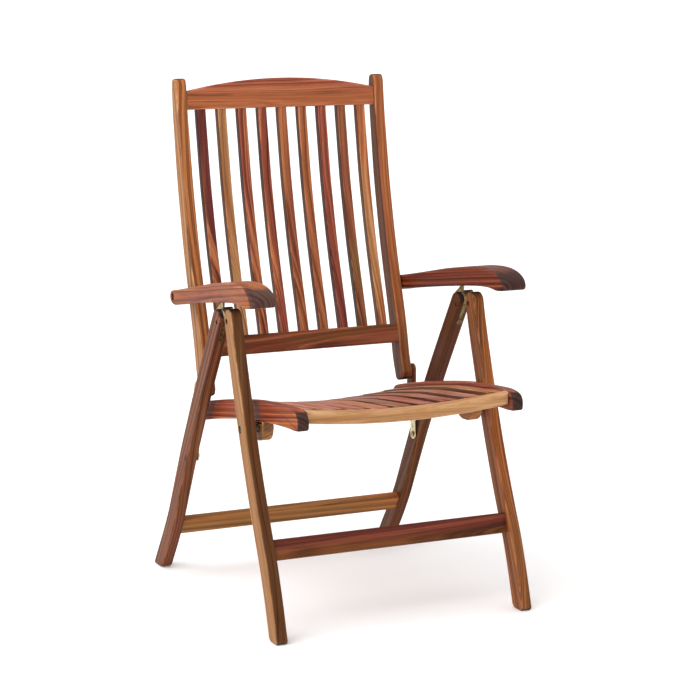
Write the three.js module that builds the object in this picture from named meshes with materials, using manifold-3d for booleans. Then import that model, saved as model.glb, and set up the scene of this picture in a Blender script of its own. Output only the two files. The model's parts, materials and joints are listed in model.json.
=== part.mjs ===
// Folding hardwood armchair with a reclining slatted back.
// Millimetres, +Z up, +X to the sitter's left-hand side of the view, front of the chair towards -Y.
// All outlines are side views in (y, z) measured from the front feet, then the whole
// group is shifted so that the origin is the bottom centre of the bounding box.
import * as THREE from 'three';
import { mergeVertices } from 'three/addons/utils/BufferGeometryUtils.js';
import Module from 'manifold-3d';

const wasm = await Module();
wasm.setup();

// ---------------------------------------------------------------- driving dimensions
const ORIGIN_Y = 318.33;            // y of the bounding box centre in the side-view frame
const LEG_IN = 265, LEG_OUT = 290;  // leg faces, distance from the centre plane
const FRAME_IN = 226.5, FRAME_OUT = 251.5;   // seat side rails and pivot blocks
const STILE_IN = 223.5, STILE_OUT = 248.5;   // back stiles
const ARM_IN = 251.8, ARM_OUT_REAR = 288, ARM_OUT_FRONT = 313;
const LEG_HALF = 20;                // half the leg's width in side view
const GAP = 0.35;                   // clearance between touching pieces
const P1 = [255, 635];              // leg hinge pin
const P2 = [164, 403];              // seat pivot on the front leg
const P5 = [476, 434];              // back hinge, also the upper end of the link strap
const P4 = [477, 284];              // lower end of the link strap on the rear leg
const P6 = [538, 623];              // arm pivot on the back stile
const PIN = [278, 649];             // recline pin under the armrest
const PIN_R = 3;
const SEAT_DISH = 14;               // how far the seat sags between the side rails
const SLAT_PITCH_BACK = 47.7, SLAT_W_BACK = 21, SLAT_T_BACK = 17;
const SLAT_PITCH_SEAT = 51.7, SLAT_W_SEAT = 38.6, SLAT_T_SEAT = 16;
const HINGE_IN = 267.5, HINGE_OUT = 287.5;   // leg hinge leaf across the leg
const LEAF_T = 2.5;

// ---------------------------------------------------------------- colours
const WOOD = { tan: 0xc08a58, brown: 0x8c5530, red: 0x8a3d24, orange: 0xb8683a, dark: 0x5e3020, pale: 0xd2a66c };
const wood = (c) => new THREE.MeshStandardMaterial({ color: c, roughness: 0.55, metalness: 0 });
const zinc = () => new THREE.MeshStandardMaterial({ color: 0x9a8560, roughness: 0.35, metalness: 0.9 });
const steel = () => new THREE.MeshStandardMaterial({ color: 0x5a5148, roughness: 0.4, metalness: 0.9 });

// ---------------------------------------------------------------- geometry helpers
function solid(geo) {
  const g = geo.clone();
  for (const k of Object.keys(g.attributes)) if (k !== 'position') g.deleteAttribute(k);
  const m = mergeVertices(g, 1e-4);
  return new wasm.Manifold(new wasm.Mesh({
    numProp: 3,
    vertProperties: new Float32Array(m.attributes.position.array),
    triVerts: new Uint32Array(m.index.array),
  }));
}
function geometry(man) {
  const m = man.getMesh();
  const g = new THREE.BufferGeometry();
  const n = m.vertProperties.length / m.numProp;
  const pos = new Float32Array(n * 3);
  for (let i = 0; i < n; i++) for (let k = 0; k < 3; k++) pos[3 * i + k] = m.vertProperties[i * m.numProp + k];
  g.setAttribute('position', new THREE.BufferAttribute(pos, 3));
  g.setIndex(new THREE.BufferAttribute(new Uint32Array(m.triVerts), 1));
  g.computeVertexNormals();
  return g;
}
// make sure that the faces point out
function outward(geo) {
  let g = geo;
  if (!g.index) g = mergeVertices(stripped(g), 1e-4);
  const p = g.attributes.position, ix = g.index.array;
  let v = 0;
  const a = new THREE.Vector3(), b = new THREE.Vector3(), c = new THREE.Vector3();
  for (let i = 0; i < ix.length; i += 3) {
    a.fromBufferAttribute(p, ix[i]); b.fromBufferAttribute(p, ix[i + 1]); c.fromBufferAttribute(p, ix[i + 2]);
    v += a.dot(b.cross(c));
  }
  if (v < 0) {
    const f = new Uint32Array(ix.length);
    for (let i = 0; i < ix.length; i += 3) { f[i] = ix[i]; f[i + 1] = ix[i + 2]; f[i + 2] = ix[i + 1]; }
    g.setIndex(new THREE.BufferAttribute(f, 1));
  }
  return g;
}
function stripped(geo) {
  const g = geo.clone();
  for (const k of Object.keys(g.attributes)) if (k !== 'position') g.deleteAttribute(k);
  return g;
}
const SIDE = new THREE.Matrix4().set(0, 0, 1, 0, 1, 0, 0, 0, 0, 1, 0, 0, 0, 0, 0, 1);    // (u,v,w) -> (w,u,v)
const FRONT = new THREE.Matrix4().set(1, 0, 0, 0, 0, 0, -1, 0, 0, 1, 0, 0, 0, 0, 0, 1);  // (u,v,w) -> (u,-w,v)

function shapeOf(pts) {
  const s = new THREE.Shape();
  pts.forEach((p, i) => (i ? s.lineTo(p[0], p[1]) : s.moveTo(p[0], p[1])));
  s.closePath();
  return s;
}
function extruded(pts, depth, bevel = 0) {
  return stripped(new THREE.ExtrudeGeometry(shapeOf(pts), bevel > 0
    ? { depth: depth - 2 * bevel, bevelEnabled: true, bevelThickness: bevel, bevelSize: bevel, bevelOffset: -bevel, bevelSegments: 1, steps: 1 }
    : { depth, bevelEnabled: false, steps: 1 }));
}
// side-view outline (y, z) given thickness from x0 to x1
function plate(pts, x0, x1, bevel = 0) {
  const g = extruded(pts, x1 - x0, bevel);
  g.translate(0, 0, bevel + x0);
  g.applyMatrix4(SIDE);
  return outward(g);
}
// front-view outline (x, z) given depth from y0 to y1
function board(pts, y0, y1, bevel = 0) {
  const g = extruded(pts, y1 - y0, bevel);
  g.translate(0, 0, bevel - y1);
  g.applyMatrix4(FRONT);
  return outward(g);
}
// turned piece on an axis along x: profile of [x, r] from one end on the axis to the other
function turned(profile, at, seg = 14) {
  const pts = profile.map(([x, r]) => new THREE.Vector2(r, x));
  const g = stripped(new THREE.LatheGeometry(pts, seg));
  g.rotateZ(-Math.PI / 2);
  g.translate(0, at[0], at[1]);
  return outward(mergeVertices(g, 1e-4));
}
const drillX = (at, r, x0, x1, seg = 14) => solid(turned([[x0, 0], [x0, r], [x1, r], [x1, 0]], at, seg));

// smooth centreline through side-view points
const spline = (pts) => new THREE.SplineCurve(pts.map((p) => new THREE.Vector2(p[0], p[1])));
function station(curve, t) {
  const p = curve.getPoint(t), d = curve.getTangent(t);
  return { p: [p.x, p.y], d: [d.x, d.y], n: [d.y, -d.x] };     // n points to the right of the travel direction
}
function mix(a, b, t) { return a + (b - a) * t; }
function table(rows, v) {
  if (v <= rows[0][0]) return rows[0][1];
  for (let i = 1; i < rows.length; i++) if (v <= rows[i][0]) {
    const [a, fa] = rows[i - 1], [b, fb] = rows[i];
    return mix(fa, fb, (v - a) / (b - a));
  }
  return rows[rows.length - 1][1];
}
const arc = (c, r, a0, a1, n) => Array.from({ length: n + 1 }, (_, i) => {
  const a = (a0 + (a1 - a0) * i / n) * Math.PI / 180;
  return [c[0] + r * Math.cos(a), c[1] + r * Math.sin(a)];
});
// band of given half width around a curve that runs upwards; rear side first, then back down the front side
function band(curve, half, t0, t1, n, topCap = 'round', capN = 6) {
  const rear = [], front = [];
  for (let i = 0; i <= n; i++) {
    const s = station(curve, mix(t0, t1, i / n)), h = half(s.p[1]);
    rear.push([s.p[0] + s.n[0] * h, s.p[1] + s.n[1] * h]);
    front.push([s.p[0] - s.n[0] * h, s.p[1] - s.n[1] * h]);
  }
  const e = station(curve, t1), h = half(e.p[1]);
  const cap = [];
  if (topCap === 'round') {
    const a0 = Math.atan2(e.n[1], e.n[0]) * 180 / Math.PI;
    cap.push(...arc(e.p, h, a0, a0 + 180, capN).slice(1, -1));
  }
  return [...rear, ...cap, ...front.reverse()];
}
// keep only the part of an outline at z >= level, with small rounded corners on the cut
function footCut(pts, level, r) {
  const out = [];
  for (let i = 0; i < pts.length; i++) {
    const a = pts[i], b = pts[(i + 1) % pts.length];
    if (a[1] >= level) out.push(a);
    if ((a[1] - level) * (b[1] - level) < 0) {
      const t = (level - a[1]) / (b[1] - a[1]);
      out.push([mix(a[0], b[0], t), level, 'cut']);
    }
  }
  const kept = out.filter((p) => p[2] === 'cut' || p[1] > level + r * 1.3);
  out.length = 0;
  out.push(...kept);
  const res = [];
  for (let i = 0; i < out.length; i++) {
    const p = out[i];
    if (p[2] !== 'cut') { res.push([p[0], p[1]]); continue; }
    const q = out[(i + out.length - 1) % out.length], s = out[(i + 1) % out.length];
    const go = (m) => { const l = Math.hypot(m[0] - p[0], m[1] - p[1]); return [p[0] + (m[0] - p[0]) * r / l, p[1] + (m[1] - p[1]) * r / l]; };
    const u = go(q), w = go(s);
    const mid = [(u[0] + w[0] + 1.2 * p[0]) / 3.2, (u[1] + w[1] + 1.2 * p[1]) / 3.2];
    res.push(u, mid, w);
  }
  return res;
}
const mirrorX = (geo) => { const g = geo.clone(); g.scale(-1, 1, 1); return outward(g); };

// ---------------------------------------------------------------- the group
const chair = new THREE.Group();
const body = new THREE.Group();
body.position.set(0, -ORIGIN_Y, 0);
chair.add(body);
function add(name, geo, material) {
  const g = geo.clone();
  g.computeBoundingBox();
  const c = new THREE.Vector3();
  g.boundingBox.getCenter(c);
  c.set(Math.round(c.x), Math.round(c.y), Math.round(c.z));
  g.translate(-c.x, -c.y, -c.z);
  g.computeVertexNormals();
  const m = new THREE.Mesh(g, material);
  m.name = name;
  m.position.copy(c);
  body.add(m);
}
function pair(stem, geoRight, matL, matR = matL) {
  add(stem + '_right', geoRight, matR());
  add(stem + '_left', mirrorX(geoRight), matL());
}

// ---------------------------------------------------------------- legs
const frontCurve = spline([[-4.5, -20], [2.4, 0], [8.6, 20], [26.2, 77], [51, 145], [75.7, 200], [104, 265], [134, 340], [162.6, 420], [189.3, 500], [211, 570], [224, 620]]);
const rearCurve = spline([[666, -20], [652.4, 0], [638.5, 20], [624.5, 40], [596.5, 80], [564.7, 130], [544.4, 168], [523, 210], [502.3, 250], [478.5, 295], [435.7, 370], [394.7, 440], [357.7, 500], [320, 560], [288, 611]]);
const frontOutline = footCut(band(frontCurve, () => LEG_HALF, 0, 1, 17), 0, 6);
const rearOutline = footCut(band(rearCurve, () => LEG_HALF, 0, 1, 17), 0, 6);
let frontLeg = solid(plate(frontOutline, LEG_IN, LEG_OUT, 3));
let rearLeg = solid(plate(rearOutline, LEG_IN, LEG_OUT, 3));

// point on the hinge side of a leg: on the rear face of the front leg, or the front face of the rear leg
function face(curve, z, side, inset = 0) {
  let lo = 0, hi = 1;
  for (let i = 0; i < 40; i++) { const m = (lo + hi) / 2; const s = station(curve, m); (s.p[1] + side * s.n[1] * LEG_HALF < z ? (lo = m) : (hi = m)); }
  const s = station(curve, lo);
  const h = side * (LEG_HALF - inset);
  return [s.p[0] + s.n[0] * h, s.p[1] + s.n[1] * h];
}
// ---------------------------------------------------------------- leg hinges
// each leaf is let into its leg flush with the face; fingers alternate across the knuckle.
// the front leg has a full-width leaf, the rear leg a narrow strap that ends in a screw eye
const KN_R = 5, KN_HOLE = 2.7;
const STRAP_IN = 273.5, STRAP_OUT = 281.5, EYE_Z = 565, EYE_R = 6;
const step = (p, d, l) => [p[0] + d[0] * l, p[1] + d[1] * l];
const flZ = [562, 580, 598, 612], rlZ = [566, 578, 589, 599];
const flTop = face(frontCurve, 612, 1), flTopIn = face(frontCurve, 612, 1, LEAF_T);
const rlTop = face(rearCurve, 599, -1), rlTopIn = face(rearCurve, 599, -1, LEAF_T);
const flDir = [0.26 / 1.033, 1 / 1.033], rlDir = [-0.54 / 1.136, 1 / 1.136];
const flPlate = [...flZ.map((z) => face(frontCurve, z, 1, LEAF_T)).reverse(), ...flZ.map((z) => face(frontCurve, z, 1, 0))];
const rlPlate = [...rlZ.map((z) => face(rearCurve, z, -1, 0)).reverse(), ...rlZ.map((z) => face(rearCurve, z, -1, LEAF_T))];
const flFinger = [step(flTopIn, flDir, -4), step(flTop, flDir, -4), [P1[0] + 1.5, P1[1] - 4.2], [P1[0] - 3.6, P1[1] + 2.2], step(flTopIn, flDir, 6)];
const rlFinger = [step(rlTop, rlDir, -4), step(rlTopIn, rlDir, -4), step(rlTopIn, rlDir, 12), [P1[0] + 4.0, P1[1] - 2.2], [P1[0] - 1.6, P1[1] - 4.4], step(rlTop, rlDir, 12)];
const knuckle = (x0, x1) => solid(turned([[x0, 0], [x0, KN_R], [x1, KN_R], [x1, 0]], P1, 14));
const pinHole = drillX(P1, KN_HOLE, 260, 295, 12);
const leafFront = solid(plate(flPlate, HINGE_IN, HINGE_OUT))
  .add(solid(plate(flFinger, HINGE_IN, STRAP_IN - 0.6))).add(solid(plate(flFinger, STRAP_OUT + 0.6, HINGE_OUT)))
  .add(knuckle(HINGE_IN, STRAP_IN - 0.6)).add(knuckle(STRAP_OUT + 0.6, HINGE_OUT)).subtract(pinHole);
// the screw eye: a disc whose axis is square to the leg's front face
const eyeFace = face(rearCurve, EYE_Z, -1), eyeIn = face(rearCurve, EYE_Z, -1, 1);
const eyeOut = [eyeFace[0] - eyeIn[0], eyeFace[1] - eyeIn[1]];
function disc(r0, r1, r, seg) {          // from r0 to r1 along the outward normal
  const g = stripped(new THREE.CylinderGeometry(r, r, r1 - r0, seg));
  g.translate(0, (r0 + r1) / 2, 0);
  g.applyMatrix4(new THREE.Matrix4().makeRotationX(Math.atan2(eyeOut[1], eyeOut[0])));
  g.translate((STRAP_IN + STRAP_OUT) / 2, eyeFace[0], eyeFace[1]);
  return solid(outward(mergeVertices(g, 1e-4)));
}
const leafRear = solid(plate(rlPlate, STRAP_IN, STRAP_OUT))
  .add(solid(plate(rlFinger, STRAP_IN, STRAP_OUT)))
  .add(knuckle(STRAP_IN, STRAP_OUT)).subtract(pinHole)
  .add(disc(-LEAF_T, 0.9, EYE_R, 14)).subtract(disc(-0.9, 3, 2.6, 10));
// the recesses in the wood, a little larger than the leaves
function recess(curve, side, zLow, zHigh, x0, x1) {
  const zs = [zLow, mix(zLow, zHigh, 0.33), mix(zLow, zHigh, 0.66), zHigh];
  const a = zs.map((z) => face(curve, z, side, LEAF_T + GAP)), b = zs.map((z) => face(curve, z, side, -6));
  return solid(plate([...a, ...b.reverse()], x0 - GAP, x1 + GAP));
}
frontLeg = frontLeg.subtract(recess(frontCurve, 1, 561.5, 613, HINGE_IN, HINGE_OUT)).subtract(solid(plate([
  face(frontCurve, 605, 1, LEAF_T + GAP + 0.6), face(frontCurve, 605, 1, -8), [P1[0] + 8, P1[1] + 4], [P1[0] - 9, P1[1] + 8], step(flTopIn, flDir, 20)], HINGE_IN - GAP, HINGE_OUT + GAP)));
rearLeg = rearLeg.subtract(recess(rearCurve, -1, 565.5, 600, STRAP_IN, STRAP_OUT)).subtract(disc(-LEAF_T - GAP, 6, EYE_R + GAP, 14)).subtract(solid(plate([
  face(rearCurve, 596, -1, LEAF_T + GAP + 0.5), step(face(rearCurve, 599, -1, LEAF_T + GAP + 0.5), rlDir, 26), step(face(rearCurve, 599, -1, -10), rlDir, 20), face(rearCurve, 596, -1, -10)], STRAP_IN - GAP, STRAP_OUT + GAP)));

// ---------------------------------------------------------------- recline pin plate, in a kerf in the rear leg's top
const pinPlate = [[288, 588], [301, 596], [308.5, 610], [311.5, 622], [309.5, 628], [284, 645.5], ...arc(PIN, PIN_R, -10, 190, 6), [273.5, 643], [276, 634], [281, 612]];
const kerf = [[287.4, 587.3], [301.6, 595.3], [309.4, 609.6], [316, 622], [316, 634], [290, 650], [262, 645], [275.2, 634], [280.4, 612]];
rearLeg = rearLeg.subtract(solid(plate(kerf, 275.5 - GAP, 279.5 + GAP)));
const reclinePlate = solid(plate(pinPlate, 275.5, 279.5)).add(drillX(PIN, PIN_R, 273.8, 281.2, 14));

// ---------------------------------------------------------------- bolts through the legs
frontLeg = frontLeg.subtract(drillX(P2, 4.4, 255, 300)).subtract(drillX(P2, 7.6, 284, 300));
rearLeg = rearLeg.subtract(drillX(P4, 3.9, 255, 284));
// counterbored cross holes at the leg tops
frontLeg = frontLeg.subtract(drillX([231, 614], 5.6, 282, 300, 12)).subtract(drillX([231, 614], 5.6, 255, 273, 12));
rearLeg = rearLeg.subtract(drillX([285, 605], 4.8, 255, 271.5, 12)).subtract(drillX([285, 605], 4.8, 283.5, 300, 12));
pair('front_leg', geometry(frontLeg), () => wood(WOOD.tan), () => wood(WOOD.orange));
pair('rear_leg', geometry(rearLeg), () => wood(WOOD.brown), () => wood(WOOD.red));
pair('leg_hinge_front', geometry(leafFront), zinc);
pair('leg_hinge_rear', geometry(leafRear), zinc);
pair('leg_hinge_pin', turned([[265.9, 0], [265.9, 3.8], [267.1, 3.8], [267.1, 2.4], [287.9, 2.4], [287.9, 3.8], [289.1, 3.8], [289.1, 0]], P1, 12), steel);
pair('recline_pin_plate', geometry(reclinePlate), zinc);
pair('seat_pivot_bolt', turned([[218.5, 0], [218.5, 7.5], [225.8, 7.5], [225.8, 4], [252.2, 4], [252.2, 9], [264.6, 9], [264.6, 4], [284.4, 4], [284.4, 7], [288.4, 5.6], [288.4, 0]], P2, 14), steel);
pair('link_bolt', turned([[256.2, 0], [256.2, 4.5], [257.4, 6.5], [259.4, 6.5], [259.4, 3.5], [262.4, 3.5], [262.4, 7], [264.6, 7], [264.6, 3.5], [283, 3.5], [283, 0]], P4, 14), zinc);

// ---------------------------------------------------------------- stretchers
function bar(yc, zc, t, h, tilt, x0, x1, r = 3) {
  const c = Math.cos(tilt), s = Math.sin(tilt);
  const base = [[-t / 2 + r, -h / 2], [t / 2 - r, -h / 2], [t / 2, -h / 2 + r], [t / 2, h / 2 - r], [t / 2 - r, h / 2], [-t / 2 + r, h / 2], [-t / 2, h / 2 - r], [-t / 2, -h / 2 + r]];
  return plate(base.map(([u, v]) => [yc + u * c - v * s, zc + u * s + v * c]), x0, x1, 0);
}
const deg = Math.PI / 180;
add('front_stretcher', bar(62.5, 173, 19, 42, -19 * deg, -LEG_IN + GAP, LEG_IN - GAP), wood(WOOD.brown));
add('rear_stretcher', bar(571, 109, 20, 38, 30 * deg, -LEG_IN + GAP, LEG_IN - GAP), wood(WOOD.tan));

// ---------------------------------------------------------------- link straps
const strapDir = [(P5[0] - P4[0]), (P5[1] - P4[1])];
const strapLen = Math.hypot(...strapDir);
const strapA = Math.atan2(strapDir[1], strapDir[0]) / deg;
const strapOutline = [...arc(P4, 11.5, strapA + 90, strapA + 270, 8), ...arc(P5, 11.5, strapA - 90, strapA + 90, 8)];
const strap = solid(plate(strapOutline, 259.8, 262.1)).subtract(drillX(P4, 3.9, 250, 270)).subtract(drillX(P5, 4.6, 250, 270));
pair('link_strap', geometry(strap), zinc);

// ---------------------------------------------------------------- seat
const seatTop = spline([[-60, 462], [-12, 469.5], [10, 471], [70, 467], [124, 462.5], [180, 456.5], [239, 447.5], [300, 437], [378, 422.5], [433, 411], [500, 395.5], [530, 388]]);
function topZ(y) {
  let lo = 0, hi = 1;
  for (let i = 0; i < 40; i++) { const m = (lo + hi) / 2; (seatTop.getPoint(m).x < y ? (lo = m) : (hi = m)); }
  return seatTop.getPoint(lo).y;
}
const RAIL_H = 41;
const topYs = [8, 55, 105, 155, 205, 255, 305, 355, 405, 445, 482];
const railOutline = [
  [-31, 431.8], [-8, 430.2], [8, topZ(8) - RAIL_H], ...topYs.slice(1).map((y) => [y, topZ(y) - RAIL_H + 0.2]),
  [499, topZ(499) - 38], [508, topZ(508) - 32], [513.5, topZ(513) - 22], [513.5, topZ(513) - 12], [508, topZ(508) - 3.5], [499, topZ(499) - 0.4],
  ...topYs.slice().reverse().map((y) => [y, topZ(y)]),
  [-10, 469.6], [-21, 467.6], [-30, 463], [-35.2, 456.4], [-37, 448], [-36.6, 438.5], [-35, 434]];
let rail = solid(plate(railOutline, FRAME_IN, FRAME_OUT, 3));
rail = rail.subtract(drillX([480, 382], 3.4, 238, 260));
pair('seat_side_rail', geometry(rail), () => wood(WOOD.red), () => wood(WOOD.brown));

const dish = (x) => SEAT_DISH * (1 - (x / FRAME_IN) ** 2);
const sink = (y) => table([[8, 0], [60, 2.2], [120, 3.4], [300, 5], [480, 7.5]], y);    // how far the slats lie below the rails' top edges
function dishedBoard(halfW, h, top, n = 12) {
  const up = [], down = [];
  for (let i = 0; i <= n; i++) {
    const x = mix(-halfW, halfW, i / n);
    down.push([x, top - h - dish(x)]);
    up.push([x, top - dish(x)]);
  }
  return [...down, ...up.reverse()];
}
const crossHalf = FRAME_IN - GAP;
add('seat_front_rail', board(dishedBoard(crossHalf, 24.5, 467.5), -22, 8, 4), wood(WOOD.pale));
{
  const g = board(dishedBoard(crossHalf, 28, 0), -11, 11, 3);
  g.rotateX(-13.5 * deg);
  g.translate(0, 491, topZ(491) - 1 - sink(491));
  add('seat_rear_rail', g, wood(WOOD.brown));
}
const slatYs = [8.4, 60, 120, 180, 240, 300, 360, 415, 450];
for (let i = 0; i < 9; i++) {
  const x = (i - 4) * SLAT_PITCH_SEAT;
  const z0 = -1.2 - dish(x);
  const endTop = 479.85 - 0.24 * (dish(x) + 2.9), endBot = endTop - 3.9;     // flush with the leaning rear rail
  const top = (y) => topZ(y) - sink(y) + z0;
  const up = [...slatYs.map((y) => [y, top(y)]), [endTop, top(endTop)]];
  const dn = [...slatYs.map((y) => [y, top(y) - SLAT_T_SEAT]), [endBot, top(endBot) - SLAT_T_SEAT]];
  add(`seat_slat_${i + 1}`, plate([...dn, ...up.reverse()], x - SLAT_W_SEAT / 2, x + SLAT_W_SEAT / 2, 2.5), wood([WOOD.red, WOOD.orange, WOOD.red, WOOD.brown][i % 4]));
}
// hanging blocks that take the seat pivot bolts
const blockTop = [208.5, 195, 180, 165, 150, 139].map((y) => [y, topZ(y) - RAIL_H - GAP]);
const block = [...arc(P2, 26, 180, 270, 6), [182, 376.5], [194, 379.5], [203, 387], [208.5, 398], ...blockTop];
const blockSolid = solid(plate(block, FRAME_IN, FRAME_OUT, 2)).subtract(drillX(P2, 4.4, 215, 260));
pair('seat_pivot_block', geometry(blockSolid), () => wood(WOOD.brown));

// tongues on the outside of the side rails that carry the back
const tongueOutline = [...arc([479, 380], 14.5, 180, 360, 6), ...arc(P5, 15.5, 0, 180, 8)];
let tongue = solid(plate(tongueOutline, FRAME_OUT + GAP, 259.4, 1.2));
tongue = tongue.subtract(drillX(P5, 4.4, 245, 265)).subtract(drillX(P5, 7.6, 255.4, 265));
pair('back_hinge_tongue', geometry(tongue), () => wood(WOOD.dark));
pair('back_hinge_bolt', turned([[228, 0], [228, 4], [248.8, 4], [248.8, 9], [251.4, 9], [251.4, 4], [255.8, 4], [255.8, 7], [259, 5.6], [259, 0]], P5, 14), steel);

// ---------------------------------------------------------------- back
const stileCurve = spline([[472.3, 418], [477, 431], [489, 465], [500.6, 517], [513.5, 565], [524, 600], [543.6, 665], [553.5, 700], [566.5, 750], [578, 800], [589, 850], [598, 900], [606, 950], [614, 1000], [619.5, 1050], [622, 1081]]);
const STILE_W = [[417, 20], [465, 20.5], [517, 20.5], [600, 19.5], [700, 18.6], [800, 18], [900, 17.4], [1000, 16], [1081, 14.5]];
const stileHalf = (z) => table(STILE_W, z);
{
  const o = band(stileCurve, stileHalf, 0, 1, 17, 'flat');
  // rounded corners at the foot and at the head
  const rearN = 18;
  const rear = o.slice(0, rearN), front = o.slice(rearN).reverse();
  const b0 = rear[0], b1 = front[0], t0 = rear[rearN - 1], t1 = front[rearN - 1];
  const lerp2 = (a, b, t) => [mix(a[0], b[0], t), mix(a[1], b[1], t)];
  const foot = [lerp2(b1, front[1], 0.22), lerp2(b1, b0, 0.2), lerp2(b0, b1, 0.14), lerp2(b0, rear[1], 0.16)];
  const head = [lerp2(t0, rear[rearN - 2], 0.3), lerp2(t0, t1, 0.12), lerp2(t0, t1, 0.45), lerp2(t0, t1, 0.85), lerp2(t1, front[rearN - 2], 0.25)];
  head[1][1] += 0.5; head[2][1] += 3; head[3][1] += 1;
  const pts = [...foot, ...rear.slice(1, rearN - 1), ...head, ...front.slice(1, rearN - 1).reverse()];
  let stile = solid(plate(pts, STILE_IN, STILE_OUT, 4));
  stile = stile.subtract(drillX(P5, 4.3, 227, 260)).subtract(drillX(P6, 4.3, 229, 260));
  pair('back_stile', geometry(stile), () => wood(WOOD.tan), () => wood(WOOD.brown));
}
function stileAt(z) {
  let lo = 0, hi = 1;
  for (let i = 0; i < 40; i++) { const m = (lo + hi) / 2; (stileCurve.getPoint(m).y < z ? (lo = m) : (hi = m)); }
  const p = stileCurve.getPoint(lo), d = stileCurve.getTangent(lo);
  return { y: p.x, d: [d.x, d.y] };
}
const railShift = (z) => mix(-8.5, -1.5, (z - 515) / 515);    // rails and slats sit near the front of the stiles
const railHalf = STILE_IN - GAP;
{
  const s = stileAt(514.5), a = Math.atan2(s.d[0], s.d[1]);
  add('back_bottom_rail', bar(s.y + railShift(514.5), 514.5, 22, 42, -a, -railHalf, railHalf), wood(WOOD.brown));
}
const TOP_RAIL_Z = 1016;
const topS = stileAt(1040), topA = Math.atan2(topS.d[0], topS.d[1]);
{
  const n = 14, pts = [[-railHalf, 0], [railHalf, 0]];
  for (let i = 0; i <= n; i++) { const x = mix(railHalf, -railHalf, i / n); pts.push([x, 40 + 24.5 * (1 - (x / railHalf) ** 2)]); }
  const g = board(pts, -11, 11, 3);
  g.rotateX(-topA);
  const s = stileAt(TOP_RAIL_Z);
  g.translate(0, s.y + railShift(TOP_RAIL_Z), TOP_RAIL_Z);
  add('back_top_rail', g, wood(WOOD.orange));
}
const slatColours = [0x5a2a24, 0xb27a45, 0x7a2f20, 0x8f4a2c, 0xa8623a, 0xb5683c, 0x74301f, 0x7d5a34, 0xc08250];
for (let i = 0; i < 9; i++) {
  const x = (i - 4) * SLAT_PITCH_BACK, n = 8, rear = [], front = [];
  const zLow = 536.6, zHigh = TOP_RAIL_Z - 1.2;
  for (let k = 0; k <= n; k++) {
    const z = mix(zLow, zHigh, k / n), s = stileAt(z), c = [s.y + railShift(z), z], nn = [s.d[1], -s.d[0]];
    rear.push([c[0] + nn[0] * SLAT_T_BACK / 2, c[1] + nn[1] * SLAT_T_BACK / 2]);
    front.push([c[0] - nn[0] * SLAT_T_BACK / 2, c[1] - nn[1] * SLAT_T_BACK / 2]);
  }
  add(`back_slat_${i + 1}`, plate([...rear, ...front.reverse()], x - SLAT_W_BACK / 2, x + SLAT_W_BACK / 2, 2.2), wood(slatColours[i]));
}

// ---------------------------------------------------------------- armrests
const armBottom = spline([[556, 605.6], [537, 605.2], [513, 609.6], [440, 621.5], [368, 633], [299, 643.3], [231, 653], [175, 660], [140, 662.6], [118, 663.2], [100, 661.2], [84, 660.8], [70, 663]]);
function curveZ(curve, y) {
  let lo = 0, hi = 1;
  for (let i = 0; i < 40; i++) { const m = (lo + hi) / 2; (curve.getPoint(m).x > y ? (lo = m) : (hi = m)); }
  return curve.getPoint(lo).y;
}
const armTop = spline([[556, 633], [520, 640.5], [452, 653.4], [382, 667.2], [313, 681], [246, 692], [193, 700.2], [158, 703.2], [124, 703], [99, 699.5], [78, 692.5], [62, 683]]);
const armOutline = [
  [534, 604.8], [547, 606.4], [555, 612], [558.8, 620], [558.2, 628], [553, 634.6], [543, 637],
  ...[520, 486, 452, 417, 382, 347, 313, 279, 246, 218, 193, 158, 140, 124, 110, 99, 88, 78].map((y) => [y, curveZ(armTop, y)]),
  [67, 686.4], [60, 679], [57, 671.5], [58.6, 666], [64, 663.6],
  ...[74, 88, 102, 114, 127, 140, 158, 178, 204, 231, 265, 299, 334, 368, 404, 440, 477, 513].map((y) => [y, curveZ(armBottom, y)])];
// plan view of the armrest, (x, y): straight inside, swelling outwards to the front
function armPlan() {
  const outer = [[562, 36.5], [530, 37.2], [480, 38.2], [420, 39.6], [360, 41.5], [300, 45.5], [240, 50], [190, 54], [150, 57], [115, 59], [90, 59.4], [75, 58], [64, 54.5], [57, 48]];
  const pts = outer.map(([y, w]) => [ARM_IN + w, y]);
  pts.push([ARM_IN + 40, 53.5], [ARM_IN + 12, 53.5], [ARM_IN + 5, 57], [ARM_IN + 0.8, 66], [ARM_IN, 80], [ARM_IN, 562]);
  return pts;
}
const planShape = armPlan().map(([x, y]) => [x, y]).reverse();
const planSolid = (() => {
  const g = extruded(planShape, 140, 0);
  g.translate(0, 0, 590);
  return solid(outward(g));
})();
let arm = solid(plate(armOutline, ARM_IN, ARM_OUT_FRONT, 5)).intersect(planSolid);
// groove for the recline rack along the underside
const under = (y) => 610 + (513 - y) * 0.1525;
arm = arm.subtract(solid(plate([[424, under(424) - 12], [424, under(424) + 14], [150, under(150) + 14], [150, under(150) - 12]], 273, 282)));
arm = arm.subtract(drillX(P6, 4.4, 245, 300)).subtract(drillX(P6, 8.2, 281, 300));
pair('armrest', geometry(arm), () => wood(WOOD.orange), () => wood(WOOD.dark));
pair('arm_pivot_bolt', turned([[230, 0], [230, 4], [248.8, 4], [281.4, 4], [281.4, 7.6], [285.6, 6.2], [285.6, 0]].filter((p, i) => i !== 2), P6, 14), steel);
pair('arm_pivot_washer', geometry(solid(turned([[248.9, 0], [248.9, 11], [251.4, 11], [251.4, 0]], P6, 18)).subtract(drillX(P6, 4.4, 240, 260))), zinc);

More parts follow.
